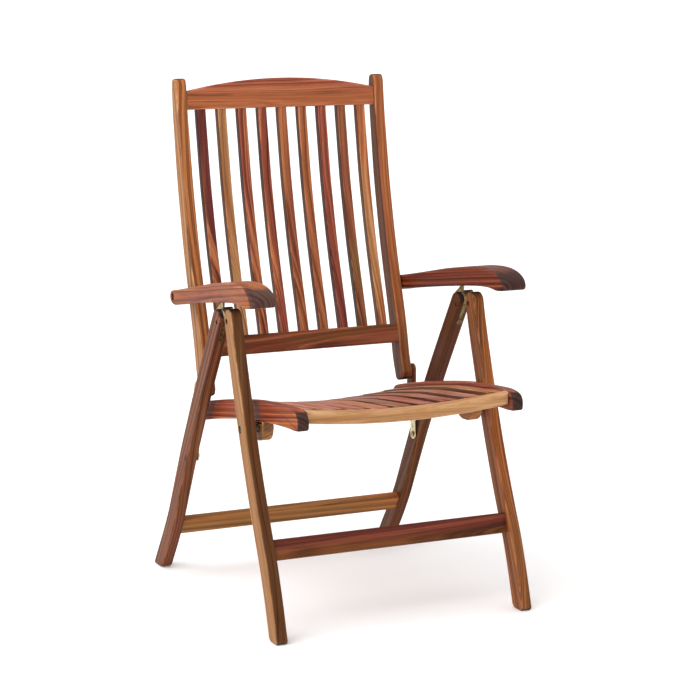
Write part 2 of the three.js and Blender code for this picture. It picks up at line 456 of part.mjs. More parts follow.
// notched rack in the groove: five seats for the pin
const RECLINE = [0, -6, -12, -18, -24];
const rot = (p, c, a) => { const co = Math.cos(a), si = Math.sin(a), u = p[0] - c[0], v = p[1] - c[1]; return [c[0] + u * co - v * si, c[1] + u * si + v * co]; };
const armDir0 = [-1 / Math.hypot(1, 0.1525), 0.1525 / Math.hypot(1, 0.1525)];
const armUp0 = [-armDir0[1] * -1, -armDir0[0]];               // perpendicular, pointing up
const toPin0 = [PIN[0] - P6[0], PIN[1] - P6[1]];
const PIN_H = toPin0[0] * armUp0[0] + toPin0[1] * armUp0[1];
const notchS = RECLINE.map((r) => { const q = rot(P6, P5, r * deg); return Math.sqrt((q[0] - PIN[0]) ** 2 + (q[1] - PIN[1]) ** 2 - PIN_H ** 2); });
{
  const h0 = PIN_H + PIN_R + 0.45, h1 = PIN_H + (under(PIN[0]) + 14 - PIN[1]) * armUp0[1] - GAP;
  const at = (s, h) => [P6[0] + armDir0[0] * s + armUp0[0] * h, P6[1] + armDir0[1] * s + armUp0[1] * h];
  let rack = solid(plate([at(notchS[0] - 22, h0), at(notchS[0] - 22, h1), at(notchS[4] + 14, h1), at(notchS[4] + 14, h0)], 274, 281));
  for (const s of notchS) rack = rack.subtract(solid(turned([[270, 0], [270, 3.4], [285, 3.4], [285, 0]], at(s, h0 - 0.2), 10)));
  pair('arm_rack', geometry(rack), steel);
}

export default chair;
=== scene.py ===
import json
import math

import bmesh
import bpy
import numpy as np
from mathutils import Matrix, Vector


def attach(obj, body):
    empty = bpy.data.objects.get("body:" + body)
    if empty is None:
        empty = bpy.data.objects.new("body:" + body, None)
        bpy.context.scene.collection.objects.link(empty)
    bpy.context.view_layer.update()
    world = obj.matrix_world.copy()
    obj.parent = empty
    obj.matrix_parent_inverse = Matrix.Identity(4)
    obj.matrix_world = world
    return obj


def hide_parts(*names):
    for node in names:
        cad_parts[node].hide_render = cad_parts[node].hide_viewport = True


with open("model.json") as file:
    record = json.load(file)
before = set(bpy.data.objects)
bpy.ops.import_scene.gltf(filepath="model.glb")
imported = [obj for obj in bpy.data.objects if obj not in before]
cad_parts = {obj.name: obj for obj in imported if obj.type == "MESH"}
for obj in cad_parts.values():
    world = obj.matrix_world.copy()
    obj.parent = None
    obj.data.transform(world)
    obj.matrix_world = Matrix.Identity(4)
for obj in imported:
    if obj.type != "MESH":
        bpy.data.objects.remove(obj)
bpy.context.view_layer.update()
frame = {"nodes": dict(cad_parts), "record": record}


# Side-view tables below are in millimetres, (y, z) measured from the front feet.
OY = 318.33
LEG_IN, LEG_OUT = 265.0, 290.0
RAIL_IN, RAIL_OUT = 226.5, 251.5
STILE_IN, STILE_OUT = 223.5, 248.5
ARM_IN = 251.8
GAP = 0.35
P1, P2, P4, P5, P6 = (255, 635), (164, 403), (477, 284), (476, 434), (538, 623)
RECORD = frame["record"]
BODY = {n: b for b, ns in RECORD["behaviour"]["bodies"].items() for n in ns}


# ------------------------------------------------------------------ curves and outlines
def curve(pts, t):
    p = np.array(pts, float)
    n = len(p) - 1
    q = np.clip(np.atleast_1d(np.asarray(t, float)), 0, 1) * n
    i = np.minimum(q.astype(int), n - 1)
    w = (q - i)[:, None]
    p0, p1, p2, p3 = p[np.maximum(i - 1, 0)], p[i], p[i + 1], p[np.minimum(i + 2, n)]
    v0, v1 = (p2 - p0) / 2, (p3 - p1) / 2
    return (2 * p1 - 2 * p2 + v0 + v1) * w**3 + (-3 * p1 + 3 * p2 - 2 * v0 - v1) * w**2 + v0 * w + p1


def tangent(pts, t):
    t = np.atleast_1d(np.asarray(t, float))
    d = curve(pts, t + 1e-4) - curve(pts, t - 1e-4)
    return d / np.linalg.norm(d, axis=1)[:, None]


def solve(f, value):
    lo, hi = 0.0, 1.0
    for _ in range(40):
        m = (lo + hi) / 2
        if f(m) < value:
            lo = m
        else:
            hi = m
    return lo


def arc(c, r, a0, a1, n):
    a = np.radians(np.linspace(a0, a1, n + 1))
    return [(c[0] + r * math.cos(x), c[1] + r * math.sin(x)) for x in a]


def band(pts, half, n=60, cap=0, t0=0.0, t1=1.0):
    """Outline of even width along a centreline, up the rear side and down the front side."""
    t = np.linspace(t0, t1, n + 1)
    p, d = curve(pts, t), tangent(pts, t)
    nn = np.stack([d[:, 1], -d[:, 0]], 1)
    h = np.array([half(z) for z in p[:, 1]])[:, None]
    out = [tuple(x) for x in p + nn * h]
    if cap:
        a0 = math.degrees(math.atan2(nn[-1][1], nn[-1][0]))
        out += arc(p[-1], float(h[-1, 0]), a0, a0 + 180, cap)[1:-1]
    out += [tuple(x) for x in (p - nn * h)[::-1]]
    return np.array(out)


def foot_cut(pts, r=11.0):
    """Cuts an outline off at the floor and rounds the two corners."""
    pts = [tuple(p) for p in pts]
    out = []
    for i, a in enumerate(pts):
        b = pts[(i + 1) % len(pts)]
        if a[1] > r * 1.2:
            out.append((a[0], a[1], 0))
        if a[1] * b[1] < 0:
            t = -a[1] / (b[1] - a[1])
            out.append((a[0] + (b[0] - a[0]) * t, 0.0, 1))
    res = []
    n = len(out)
    for i, p in enumerate(out):
        if not p[2]:
            res.append((p[0], p[1]))
            continue
        c = np.array(p[:2])
        q, s = np.array(out[i - 1][:2]), np.array(out[(i + 1) % n][:2])
        u = c + (q - c) / np.linalg.norm(q - c) * r
        w = c + (s - c) / np.linalg.norm(s - c) * r
        for k in range(7):
            t = k / 6
            x = u * (1 - t) ** 2 + c * 2 * t * (1 - t) * 0.9 + (u + w) / 2 * 2 * t * (1 - t) * 0.1 + w * t * t
            res.append(tuple(x))
    return np.array(res)


def soften(pts, cut=3.0, rounds=3):
    p = np.array(pts, float)
    for _ in range(rounds):
        q = []
        for i in range(len(p)):
            a, b = p[i], p[(i + 1) % len(p)]
            ln = np.linalg.norm(b - a)
            if ln < 0.25:
                q.append((a + b) / 2)
                continue
            c = min(0.25 * ln, cut) / ln
            q += [a + (b - a) * c, b - (b - a) * c]
        p = np.array(q)
        cut *= 0.6
    return p


def clean(p, least=0.12):
    out = [p[0]]
    for x in p[1:]:
        if np.linalg.norm(x - out[-1]) > least:
            out.append(x)
    if np.linalg.norm(out[0] - out[-1]) <= least:
        out.pop()
    p = np.array(out)
    area = np.sum(p[:, 0] * np.roll(p[:, 1], -1) - np.roll(p[:, 0], -1) * p[:, 1])
    return p if area > 0 else p[::-1].copy()


def insets(p, distances):
    """The outline moved inwards by each distance, with the same number of points each time."""
    out, done, q = {}, 0.0, p.copy()
    e = np.roll(q, -1, 0) - q
    t = e / np.maximum(np.linalg.norm(e, axis=1), 1e-9)[:, None]
    for d in sorted(distances):
        steps = max(1, int(math.ceil((d - done) / 0.4))) if d > done else 0
        for _ in range(steps):
            h = (d - done) / steps
            e = np.roll(q, -1, 0) - q
            ln = np.linalg.norm(e, axis=1)
            ok = ln > 1e-5
            t[ok] = e[ok] / ln[ok][:, None]
            nn = np.stack([t[:, 1], -t[:, 0]], 1)
            b = nn + np.roll(nn, 1, 0)
            b /= np.maximum(np.linalg.norm(b, axis=1), 1e-9)[:, None]
            c = np.maximum((b * nn).sum(1), 0.6)
            q = q - b * (h / c)[:, None]
            for _ in range(6):
                e = np.roll(q, -1, 0) - q
                bad = np.where((e * t).sum(1) < 0)[0]
                if not len(bad):
                    break
                for i in bad:
                    j = (i + 1) % len(q)
                    q[i] = q[j] = (q[i] + q[j]) / 2
        done = d
        out[d] = q.copy()
    return out


# ------------------------------------------------------------------ meshes
def side(u, v, w):
    return np.stack([w, u, v], 1)


def front(u, v, w):
    return np.stack([u, -w, v], 1)


def mesh_from(name, verts, faces, edge):
    me = bpy.data.meshes.new(name)
    co = np.array(verts, float)
    co = np.stack([co[:, 0], co[:, 1] - OY, co[:, 2]], 1) / 1000
    me.from_pydata([tuple(c) for c in co], [], [tuple(int(i) for i in f) for f in faces])
    at = me.attributes.new("edge", "FLOAT", "POINT")
    at.data.foreach_set("value", np.array(edge, np.float32))
    bm = bmesh.new()
    bm.from_mesh(me)
    bmesh.ops.remove_doubles(bm, verts=bm.verts, dist=2e-6)
    bmesh.ops.dissolve_degenerate(bm, edges=bm.edges, dist=1e-6)
    bmesh.ops.recalc_face_normals(bm, faces=bm.faces)
    bm.to_mesh(me)
    bm.free()
    return me


def prism(name, outline, w0, w1, r, place=side, seg=4, paired=False, fade=2.2, softened=True):
    """A board with this outline between w0 and w1, every long edge rounded by r. w0 and w1 may be functions of the outline's first coordinate."""
    p = np.array(outline, float) if paired else clean(np.array(outline, float))
    f0 = w0 if callable(w0) else (lambda u: np.full(len(u), float(w0)))
    f1 = w1 if callable(w1) else (lambda u: np.full(len(u), float(w1)))
    steps = [(r * (1 - math.sin(math.pi / 2 * k / seg)), r * (1 - math.cos(math.pi / 2 * k / seg)), 0.45 + 0.55 * math.sin(math.pi * k / seg)) for k in range(seg + 1)]
    rows = [(r + fade, 0.0, 0.0, 0), *[(d, x, e, 0) for d, x, e in steps], (0.0, r + fade, 0.0, 0)]
    rows += [(d, x, e, 1) for d, x, e, _ in reversed(rows)]
    ins = insets(p, sorted({round(d, 6) for d, *_ in rows}))
    n = len(p)
    verts, edge = [], []
    for d, x, e, far in rows:
        q = ins[round(d, 6)]
        w = f1(q[:, 0]) - x if far else f0(q[:, 0]) + x
        verts.append(place(q[:, 0], q[:, 1], w))
        edge += [e] * n
    faces = []
    for k in range(len(rows) - 1):
        a, b = k * n, (k + 1) * n
        for i in range(n):
            j = (i + 1) % n
            faces.append((a + i, a + j, b + j, b + i))
    last = (len(rows) - 1) * n
    if paired:
        m = n // 2
        for base, flip in ((0, True), (last, False)):
            for i in range(m):
                a, b, c, d = i, i + 1, (n - i - 1) % n, (n - i) % n
                ring = [base + x for x in dict.fromkeys((a, b, c, d))]
                if len(ring) > 2:
                    faces.append(ring[::-1] if flip else ring)
    else:
        faces.append(list(range(n))[::-1])
        faces.append([last + i for i in range(n)])
    return mesh_from(name, np.concatenate(verts), faces, edge)


def lathe(name, profile, at, seg=40, chamfer=0.3):
    """A turned piece on an axis along x, from [x, r] points that start and end on the axis or close on themselves."""
    pts = [tuple(p) for p in profile]
    closed = pts[0][1] > 0
    out = []
    n = len(pts)
    for i, p in enumerate(pts):
        if not closed and i in (0, n - 1):
            out.append((*p, 0.0))
            continue
        a, b = pts[i - 1], pts[(i + 1) % n]
        la, lb = math.dist(a, p), math.dist(b, p)
        c = min(chamfer, la / 3, lb / 3)
        out.append((p[0] + (a[0] - p[0]) * c / la, p[1] + (a[1] - p[1]) * c / la, 1.0))
        out.append((p[0] + (b[0] - p[0]) * c / lb, p[1] + (b[1] - p[1]) * c / lb, 1.0))
    verts, edge, faces = [], [], []
    for x, r, e in out:
        for k in range(seg):
            a = 2 * math.pi * k / seg
            verts.append((x, at[0] + r * math.cos(a), at[1] + r * math.sin(a)))
            edge.append(e)
    m = len(out)
    for k in range(m if closed else m - 1):
        a, b = k * seg, ((k + 1) % m) * seg
        for i in range(seg):
            j = (i + 1) % seg
            faces.append((a + i, a + j, b + j, b + i))
    return mesh_from(name, verts, faces, edge)


def join(name, meshes):
    bm = bmesh.new()
    for m in meshes:
        bm.from_mesh(m)
    me = bpy.data.meshes.new(name)
    bm.to_mesh(me)
    bm.free()
    return me


def thing(name, me):
    o = bpy.data.objects.new(name, me)
    bpy.context.scene.collection.objects.link(o)
    return o


def cut(me, cutters):
    """Cuts each mesh in cutters out of me."""
    o = thing("cutting", me)
    tools = []
    for k, c in enumerate(cutters):
        t = thing(f"tool_{k}", c)
        tools.append(t)
        m = o.modifiers.new("cut", "BOOLEAN")
        m.operation, m.solver, m.object = "DIFFERENCE", "EXACT", t
    dg = bpy.context.evaluated_depsgraph_get()
    res = bpy.data.meshes.new_from_object(o.evaluated_get(dg), preserve_all_data_layers=True, depsgraph=dg)
    for x in [o, *tools]:
        bpy.data.objects.remove(x)
    return res


def block(outline, w0, w1, place=side):
    p = clean(np.array(outline, float))
    n = len(p)
    v = np.concatenate([place(p[:, 0], p[:, 1], np.full(n, float(w0))), place(p[:, 0], p[:, 1], np.full(n, float(w1)))])
    faces = [(i, (i + 1) % n, n + (i + 1) % n, n + i) for i in range(n)] + [list(range(n))[::-1], [n + i for i in range(n)]]
    return mesh_from("tool", v, faces, [0.0] * 2 * n)


def drill(at, r, x0, x1, seg=32):
    return lathe("tool", [(x0, 0), (x0, r), (x1, r), (x1, 0)], at, seg, 0.02)


def drive(at, x, size, depth, out=1.0, turn=20):
    """A cross recess for a driver, cut into a face at x that looks along out."""
    a = math.radians(turn)
    res = []
    for k in (0, 1):
        c, s = math.cos(a + k * math.pi / 2), math.sin(a + k * math.pi / 2)
        w = size * 0.16
        q = [(at[0] + c * u - s * v, at[1] + s * u + c * v) for u, v in ((-size, -w), (size, -w), (size, w), (-size, w))]
        res.append(block(q, min(x - out * depth, x + out), max(x - out * depth, x + out)))
    return res


def mirrored(me):
    m = me.copy()
    m.transform(Matrix.Scale(-1, 4, Vector((1, 0, 0))))
    m.flip_normals()
    return m


def shade(me, angle=38):
    bm = bmesh.new()
    bm.from_mesh(me)
    for f in bm.faces:
        f.smooth = True
    lim = math.radians(angle)
    for e in bm.edges:
        e.smooth = not (len(e.link_faces) == 2 and e.calc_face_angle(0.0) > lim)
    bm.to_mesh(me)
    bm.free()


def piece(name, me, node, material, replace=True, body=None):
    shade(me)
    me.materials.clear()
    me.materials.append(material)
    me.name = name
    o = thing(name, me)
    m = o.modifiers.new("normals", "WEIGHTED_NORMAL")
    m.keep_sharp = True
    m.weight = 50
    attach(o, body or BODY[node])
    if replace:
        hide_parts(node)
    return o


# ------------------------------------------------------------------ materials
def lin(h):
    c = [int(h[i : i + 2], 16) / 255 for i in (1, 3, 5)]
    return tuple(x / 12.92 if x <= 0.04045 else ((x + 0.055) / 1.055) ** 2.4 for x in c) + (1.0,)


class Tree:
    def __init__(self, name):
        self.mat = bpy.data.materials.new(name)
        self.mat.use_nodes = True
        self.t = self.mat.node_tree
        self.shader = next(n for n in self.t.nodes if n.type == "BSDF_PRINCIPLED")

    def put(self, socket, value):
        if isinstance(value, bpy.types.NodeSocket):
            self.t.links.new(value, socket)
        elif value is not None:
            socket.default_value = value

    def node(self, kind, inputs=(), **props):
        n = self.t.nodes.new(kind)
        for k, v in props.items():
            setattr(n, k, v)
        for k, v in dict(inputs).items():
            self.put(n.inputs[k], v)
        return n

    def math(self, op, a, b=None, c=None, clamp=False):
        n = self.node("ShaderNodeMath", operation=op, use_clamp=clamp)
        for i, v in enumerate((a, b, c)):
            self.put(n.inputs[i], v)
        return n.outputs[0]

    def vec(self, op, a, b=None, scale=None):
        n = self.node("ShaderNodeVectorMath", operation=op)
        self.put(n.inputs[0], a)
        self.put(n.inputs[1], b)
        if scale is not None:
            self.put(n.inputs["Scale"], scale)
        return n.outputs["Value" if op in ("DOT_PRODUCT", "LENGTH", "DISTANCE") else "Vector"]

    def noise(self, v, scale, detail=2.0, rough=0.5, distort=0.0, dims="3D"):
        n = self.node("ShaderNodeTexNoise", noise_dimensions=dims)
        if dims == "1D":
            self.put(n.inputs["W"], v)
        else:
            self.put(n.inputs["Vector"], v)
        n.inputs["Scale"].default_value = scale
        n.inputs["Detail"].default_value = detail
        n.inputs["Roughness"].default_value = rough
        n.inputs["Distortion"].default_value = distort
        return n.outputs[0]

    def span(self, v, a, b, lo=0.0, hi=1.0, smooth=True):
        n = self.node("ShaderNodeMapRange", interpolation_type="SMOOTHSTEP" if smooth else "LINEAR")
        self.put(n.inputs["Value"], v)
        for k, x in zip(("From Min", "From Max", "To Min", "To Max"), (a, b, lo, hi)):
            n.inputs[k].default_value = x
        return n.outputs[0]

    def ramp(self, fac, stops):
        n = self.node("ShaderNodeValToRGB")
        n.color_ramp.interpolation = "EASE"
        e = n.color_ramp.elements
        while len(e) < len(stops):
            e.new(0.5)
        for x, (pos, col) in zip(e, stops):
            x.position, x.color = pos, col
        self.put(n.inputs[0], fac)
        return n.outputs[0]

    def mix(self, fac, a, b, blend="MIX"):
        n = self.node("ShaderNodeMix", data_type="RGBA", blend_type=blend)
        self.put(n.inputs[0], fac)
        self.put(n.inputs[6], a)
        self.put(n.inputs[7], b)
        return n.outputs[2]

    def hsv(self, col, sat, val):
        n = self.node("ShaderNodeHueSaturation")
        self.put(n.inputs["Saturation"], sat)
        self.put(n.inputs["Value"], val)
        self.put(n.inputs["Color"], col)
        return n.outputs[0]


TONE = {
    "tan": ("#c9925f", "#b37b47", "#8a5630"),
    "orange": ("#bf743f", "#a35a2e", "#74371b"),
    "brown": ("#9a6038", "#7e4a27", "#532c17"),
    "red": ("#a3543a", "#863d28", "#501f15"),
    "purple": ("#8f4636", "#6f2f29", "#421a18"),
    "olive": ("#a67440", "#895b2d", "#5c391a"),
    "pale": ("#dcae7c", "#cb9462", "#a87545"),
    "rose": ("#c98365", "#ab6248", "#763527"),
}


def blendhex(a, b, t):
    return tuple(x * (1 - t) + y * t for x, y in zip(a, b))


def wood(name, main, second, axis, centre, seed, bands=170.0, contrast=1.0, patch=0.5, spread=(0.46, 0.60), pith=(0.03, 0.05), light=1.0, sat=1.0, knots=(), end=0.5, slope=0.012, bend=0.008, flank=(1.0, 1.0), split=None, dark=1.0):
    """Oiled hardwood with its grain along axis: growth layers round a pith, broad colour patches, dark veins, fibres,
    pores, dark end grain, and edges lightened both as rubbed wear and as a painted highlight. flank is painted light
    and shade: the brightness of the faces that look along -x and +x. split turns the wood to its second colour across a
    height or width.
    """
    T = Tree(name)
    tc = T.node("ShaderNodeTexCoord")
    u = Vector(axis).normalized()
    up = Vector((1, 0, 0)) if abs(u.x) < 0.8 else Vector((0, 0, 1))
    v = (up - u * up.dot(u)).normalized()
    w = u.cross(v)
    rot = Matrix((u, v, w))
    c = Vector(centre)
    mp = T.node("ShaderNodeMapping", vector_type="POINT")
    T.put(mp.inputs["Vector"], tc.outputs["Object"])
    mp.inputs["Rotation"].default_value = rot.to_euler("XYZ")
    mp.inputs["Location"].default_value = -(rot @ c)
    g = mp.outputs[0]
    rnd = np.random.RandomState(seed)
    off = tuple(float(x) for x in rnd.uniform(3, 60, 3))

    def scaled(s, k=0.0):
        return T.vec("ADD", T.vec("MULTIPLY", g, tuple(s)), tuple(x + k for x in off))

    sep = T.node("ShaderNodeSeparateXYZ", {"Vector": g})
    warp = T.noise(scaled((2.0, 9, 9)), 1.0, 2.0, 0.55)
    warp2 = T.noise(scaled((6, 60, 60), 9.0), 1.0, 2.0, 0.5)
    a = T.math("ADD", sep.outputs[1], float(pith[0] + rnd.uniform(-0.004, 0.004)))
    b = T.math("ADD", sep.outputs[2], float(pith[1] + rnd.uniform(-0.004, 0.004)))
    r = T.math("SQRT", T.math("ADD", T.math("MULTIPLY", a, a), T.math("MULTIPLY", b, b)))
    r = T.math("MULTIPLY_ADD", warp, float(bend), r)
    r = T.math("MULTIPLY_ADD", warp2, float(bend * 0.22), r)
    r = T.math("MULTIPLY_ADD", sep.outputs[0], float(slope * rnd.choice((-1, 1))), r)
    w1 = T.math("MULTIPLY_ADD", r, float(bands), float(off[0]))
    ring = T.noise(w1, 1.0, 4.0, 0.66, dims="1D")
    fine = T.noise(T.math("MULTIPLY_ADD", r, float(bands * 4.5), float(off[1])), 1.0, 1.0, 0.5, dims="1D")
    vein = T.noise(T.math("MULTIPLY_ADD", r, float(bands * 0.9), float(off[2])), 1.0, 1.0, 0.5, dims="1D")
    vein = T.span(T.math("ABSOLUTE", T.math("SUBTRACT", vein, 0.5)), 0.0, 0.035, 1.0, 0.0)
    vein = T.math("MULTIPLY", vein, T.span(T.noise(scaled((3.5, 26, 26), 31.0), 1.0, 2.0, 0.6), 0.46, 0.62))

    def tones(t):
        lo, md, dk = (lin(x) for x in TONE[t])
        dk = blendhex(md, dk, contrast)
        lo = blendhex(md, lo, contrast)
        return [(0.30, dk), (0.42, blendhex(dk, md, 0.7)), (0.50, md), (0.60, lo), (0.74, blendhex(lo, md, 0.35))]

    col = T.ramp(ring, tones(main))
    if second:
        col2 = T.ramp(ring, tones(second))
        patches = T.noise(scaled((1.7, 18, 18), 4.0), 1.0, 2.0, 0.6)
        streaky = T.math("MULTIPLY_ADD", T.math("SUBTRACT", ring, 0.5), 0.35, patches)
        mask = T.math("MULTIPLY", T.span(streaky, spread[0], spread[1]), float(patch))
        if split:
            way, s0, s1 = split
            along = T.vec("DOT_PRODUCT", tc.outputs["Object"], tuple(float(x) for x in way))
            along = T.math("MULTIPLY_ADD", T.math("SUBTRACT", streaky, 0.5), 0.5 * (s1 - s0), along)
            part = T.span(along, s0, s1)
            mask = T.math("MULTIPLY_ADD", T.math("SUBTRACT", mask, part), 0.22, part)
        col = T.mix(mask, col, col2)
    fib = T.noise(scaled((20, 800, 800), 2.0), 1.0, 2.0, 0.6)
    fib2 = T.noise(scaled((8, 260, 260), 7.0), 1.0, 2.0, 0.55)
    pore = T.span(T.noise(scaled((95, 1900, 1900), 5.0), 1.0, 1.0, 0.5), 0.60, 0.72)
    val = T.math("MULTIPLY_ADD", T.math("SUBTRACT", fib, 0.5), 0.50, 1.0)
    val = T.math("MULTIPLY_ADD", T.math("SUBTRACT", fib2, 0.5), 0.62, val)
    val = T.math("MULTIPLY_ADD", T.math("SUBTRACT", fine, 0.5), 0.55 * contrast, val)
    val = T.math("MULTIPLY_ADD", vein, -0.42 * contrast, val)
    val = T.math("MULTIPLY_ADD", pore, -0.16, val)
    # painted light and shade: faces that look along -x and +x are darkened for the shade between neighbouring parts and
    # brightened for light from the left
    nx = T.node("ShaderNodeSeparateXYZ", {"Vector": tc.outputs["Normal"]}).outputs[0]
    val = T.math("MULTIPLY", val, T.math("MULTIPLY", T.span(nx, -0.9, -0.55, flank[0], 1.0), T.span(nx, 0.55, 0.9, 1.0, flank[1])))
    val = T.math("MULTIPLY", val, float(light))
    col = T.hsv(col, float(sat), val)
    # end grain
    d = T.math("ABSOLUTE", T.vec("DOT_PRODUCT", tc.outputs["Normal"], tuple(u)))
    speck = T.noise(T.vec("MULTIPLY", g, (700, 900, 900)), 1.0, 2.0, 0.6)
    dn = T.span(T.math("MULTIPLY_ADD", T.math("SUBTRACT", warp2, 0.5), 0.16, d), end, end + 0.2)
    ec = T.mix(0.5, T.hsv(col, 0.75, 0.42), lin("#4a322f"))
    ec = T.hsv(ec, 1.0, T.math("MULTIPLY_ADD", speck, 0.7, 0.55))
    ec = T.hsv(ec, 1.0, T.math("MULTIPLY_ADD", ring, 0.7 * dark, 0.65 * dark))
    col = T.mix(dn, col, ec)
    for kx, ky, kz, kr in knots:
        flat = Vector((0.55, 1.0, 1.0))
        spot = (rot @ (Vector((kx, ky - OY, kz)) / 1000 - c)) * flat
        away = T.vec("DISTANCE", T.vec("MULTIPLY", g, tuple(flat)), tuple(spot))
        col = T.mix(T.span(away, kr / 2500, kr / 1000, 0.85, 0.0), col, lin("#2c1710"))
    # rubbed edges: lightened partly as real wear and partly as a painted highlight along the rounded edges
    edge = T.node("ShaderNodeAttribute", attribute_name="edge").outputs["Fac"]
    rub = T.noise(scaled((14, 60, 60), 12.0), 1.0, 3.0, 0.6)
    wear_and_highlight = T.math("MULTIPLY", edge, T.span(rub, 0.36, 0.62))
    col = T.mix(T.math("MULTIPLY", wear_and_highlight, 0.42), col, T.hsv(col, 0.84, 1.6))
    T.put(T.shader.inputs["Base Color"], col)
    ro = T.math("MULTIPLY_ADD", T.noise(scaled((5, 30, 30), 21.0), 1.0, 3.0, 0.6), 0.24, 0.34)
    ro = T.math("MULTIPLY_ADD", pore, 0.16, ro)
    ro = T.math("MULTIPLY_ADD", wear_and_highlight, 0.08, ro)
    ro = T.math("MULTIPLY_ADD", dn, 0.14, ro, clamp=True)
    T.put(T.shader.inputs["Roughness"], ro)
    h = T.math("MULTIPLY_ADD", fib, 0.5, T.math("MULTIPLY", pore, -0.9))
    h = T.math("MULTIPLY_ADD", ring, 0.6, h)
    h = T.math("MULTIPLY_ADD", vein, -0.4, h)
    h = T.math("MULTIPLY_ADD", T.math("MULTIPLY", speck, dn), 0.8, h)
    bump = T.node("ShaderNodeBump", {"Height": h})
    bump.inputs["Strength"].default_value = 0.32
    bump.inputs["Distance"].default_value = 0.0006
    T.put(T.shader.inputs["Normal"], bump.outputs[0])
    T.shader.inputs["IOR"].default_value = 1.47
    T.shader.inputs["Specular IOR Level"].default_value = 0.14
    return T.mat


def metal(name, base, other, rough, seed, scale=1.0, streak=(1, 1, 1)):
    """Plated or bare metal with tarnish, fine scratches and brighter edges."""
    T = Tree(name)
    tc = T.node("ShaderNodeTexCoord")
    p = T.vec("ADD", tc.outputs["Object"], (seed * 0.37, seed * 0.11, seed * 0.23))
    big = T.noise(p, 90.0 * scale, 3.0, 0.6)
    spots = T.noise(p, 420.0 * scale, 3.0, 0.65)
    hair = T.noise(T.vec("MULTIPLY", p, tuple(900.0 * x for x in streak)), 1.0, 2.0, 0.5)
    edge = T.node("ShaderNodeAttribute", attribute_name="edge").outputs["Fac"]
    f = T.math("MULTIPLY_ADD", T.math("SUBTRACT", spots, 0.5), 0.6, big)
    col = T.mix(T.span(f, 0.40, 0.66), lin(base), lin(other))
    col = T.hsv(col, 1.0, T.math("MULTIPLY_ADD", T.math("SUBTRACT", hair, 0.5), 0.25, 1.0))
    col = T.mix(T.math("MULTIPLY", edge, 0.45), col, T.hsv(col, 0.8, 1.5))
    T.put(T.shader.inputs["Base Color"], col)
    T.shader.inputs["Metallic"].default_value = 1.0
    ro = T.math("MULTIPLY_ADD", f, 0.30, rough - 0.12)
    ro = T.math("MULTIPLY_ADD", hair, 0.08, ro, clamp=True)
    T.put(T.shader.inputs["Roughness"], ro)
    bump = T.node("ShaderNodeBump", {"Height": T.math("MULTIPLY_ADD", hair, 0.4, spots)})
    bump.inputs["Strength"].default_value = 0.22
    bump.inputs["Distance"].default_value = 0.0003
    T.put(T.shader.inputs["Normal"], bump.outputs[0])
    return T.mat


def middle(me):
    co = np.zeros(len(me.vertices) * 3)
    me.vertices.foreach_get("co", co)
    co = co.reshape(-1, 3)
    return (co.min(0) + co.max(0)) / 2


def two(stem, me, look, axis, **kw):
    """The right-hand piece and its mirror image. look has the wood of the left one and of the right one."""
    both = []
    for hand, m in (("left", mirrored(me)), ("right", me)):
        main, second, seed, extra = look[0] if hand == "left" else look[1]
        a = Vector(axis)
        if hand == "left":
            a.x = -a.x
        opts = {**kw, **extra}
        # painted light and shade: the side pair (inner, outer) darkens or brightens each hand's inner and outer side
        # faces
        inner, outer = opts.pop("painted_sides", (0.8, 1.1))
        opts["flank"] = (outer, inner) if hand == "left" else (inner, outer)
        mat = wood(f"{stem}_{hand}_wood", main, second, a, middle(m), seed, **opts)
        both.append(piece(f"fine_{stem}_{hand}", m, f"{stem}_{hand}", mat))
    return both


def pair_metal(stem, me, mats):
    for hand, m in (("left", mirrored(me)), ("right", me)):
        piece(f"fine_{stem}_{hand}", m, f"{stem}_{hand}", mats)


ZINC = metal("yellow_zinc", "#b5a273", "#8d7748", 0.34, 3)
BRASS = metal("pale_zinc", "#cfc3a0", "#a39063", 0.30, 5, streak=(1, 1, 0.05))
STEEL = metal("dark_bolt_steel", "#776c5c", "#4b4238", 0.40, 8)
# painted shade: a darker zinc for the rear leg hinge straps, standing in for the shadow they sit in
SHADED_ZINC = metal("shaded_zinc", "#8a7a54", "#5a4d36", 0.40, 14)
RACK = metal("rack_steel", "#6d655a", "#4a4239", 0.42, 11)

# ------------------------------------------------------------------ legs
FRONT_LEG = [(-4.5, -20), (2.4, 0), (8.6, 20), (26.2, 77), (51, 145), (75.7, 200), (104, 265), (134, 340), (162.6, 420), (189.3, 500), (211, 570), (224, 620)]
REAR_LEG = [(666, -20), (652.4, 0), (638.5, 20), (624.5, 40), (596.5, 80), (564.7, 130), (544.4, 168), (523, 210), (502.3, 250), (478.5, 295), (435.7, 370), (394.7, 440), (357.7, 500), (320, 560), (288, 611)]
LEAF = 2.5


def face(pts, z, s, inset=0.0):
    def height(m):
        p, d = curve(pts, m)[0], tangent(pts, m)[0]
        return p[1] - s * d[0] * 20

    m = solve(height, z)
    p, d = curve(pts, m)[0], tangent(pts, m)[0]
    k = s * (20 - inset)
    return (p[0] + d[1] * k, p[1] - d[0] * k)


def step(p, d, n):
    return (p[0] + d[0] * n, p[1] + d[1] * n)


def recess(pts, s, z0, z1, x0, x1):
    zs = [z0 + (z1 - z0) * k for k in (0, 0.33, 0.66, 1)]
    return block([face(pts, z, s, LEAF + GAP) for z in zs] + [face(pts, z, s, -6) for z in reversed(zs)], x0 - GAP, x1 + GAP)


fl_top_in = face(FRONT_LEG, 612, 1, LEAF)
fl_dir, rl_dir = (0.26 / 1.033, 1 / 1.033), (-0.54 / 1.136, 1 / 1.136)
eye, eye_in = face(REAR_LEG, 565, -1), face(REAR_LEG, 565, -1, 1)
eye_out = (eye[0] - eye_in[0], eye[1] - eye_in[1])


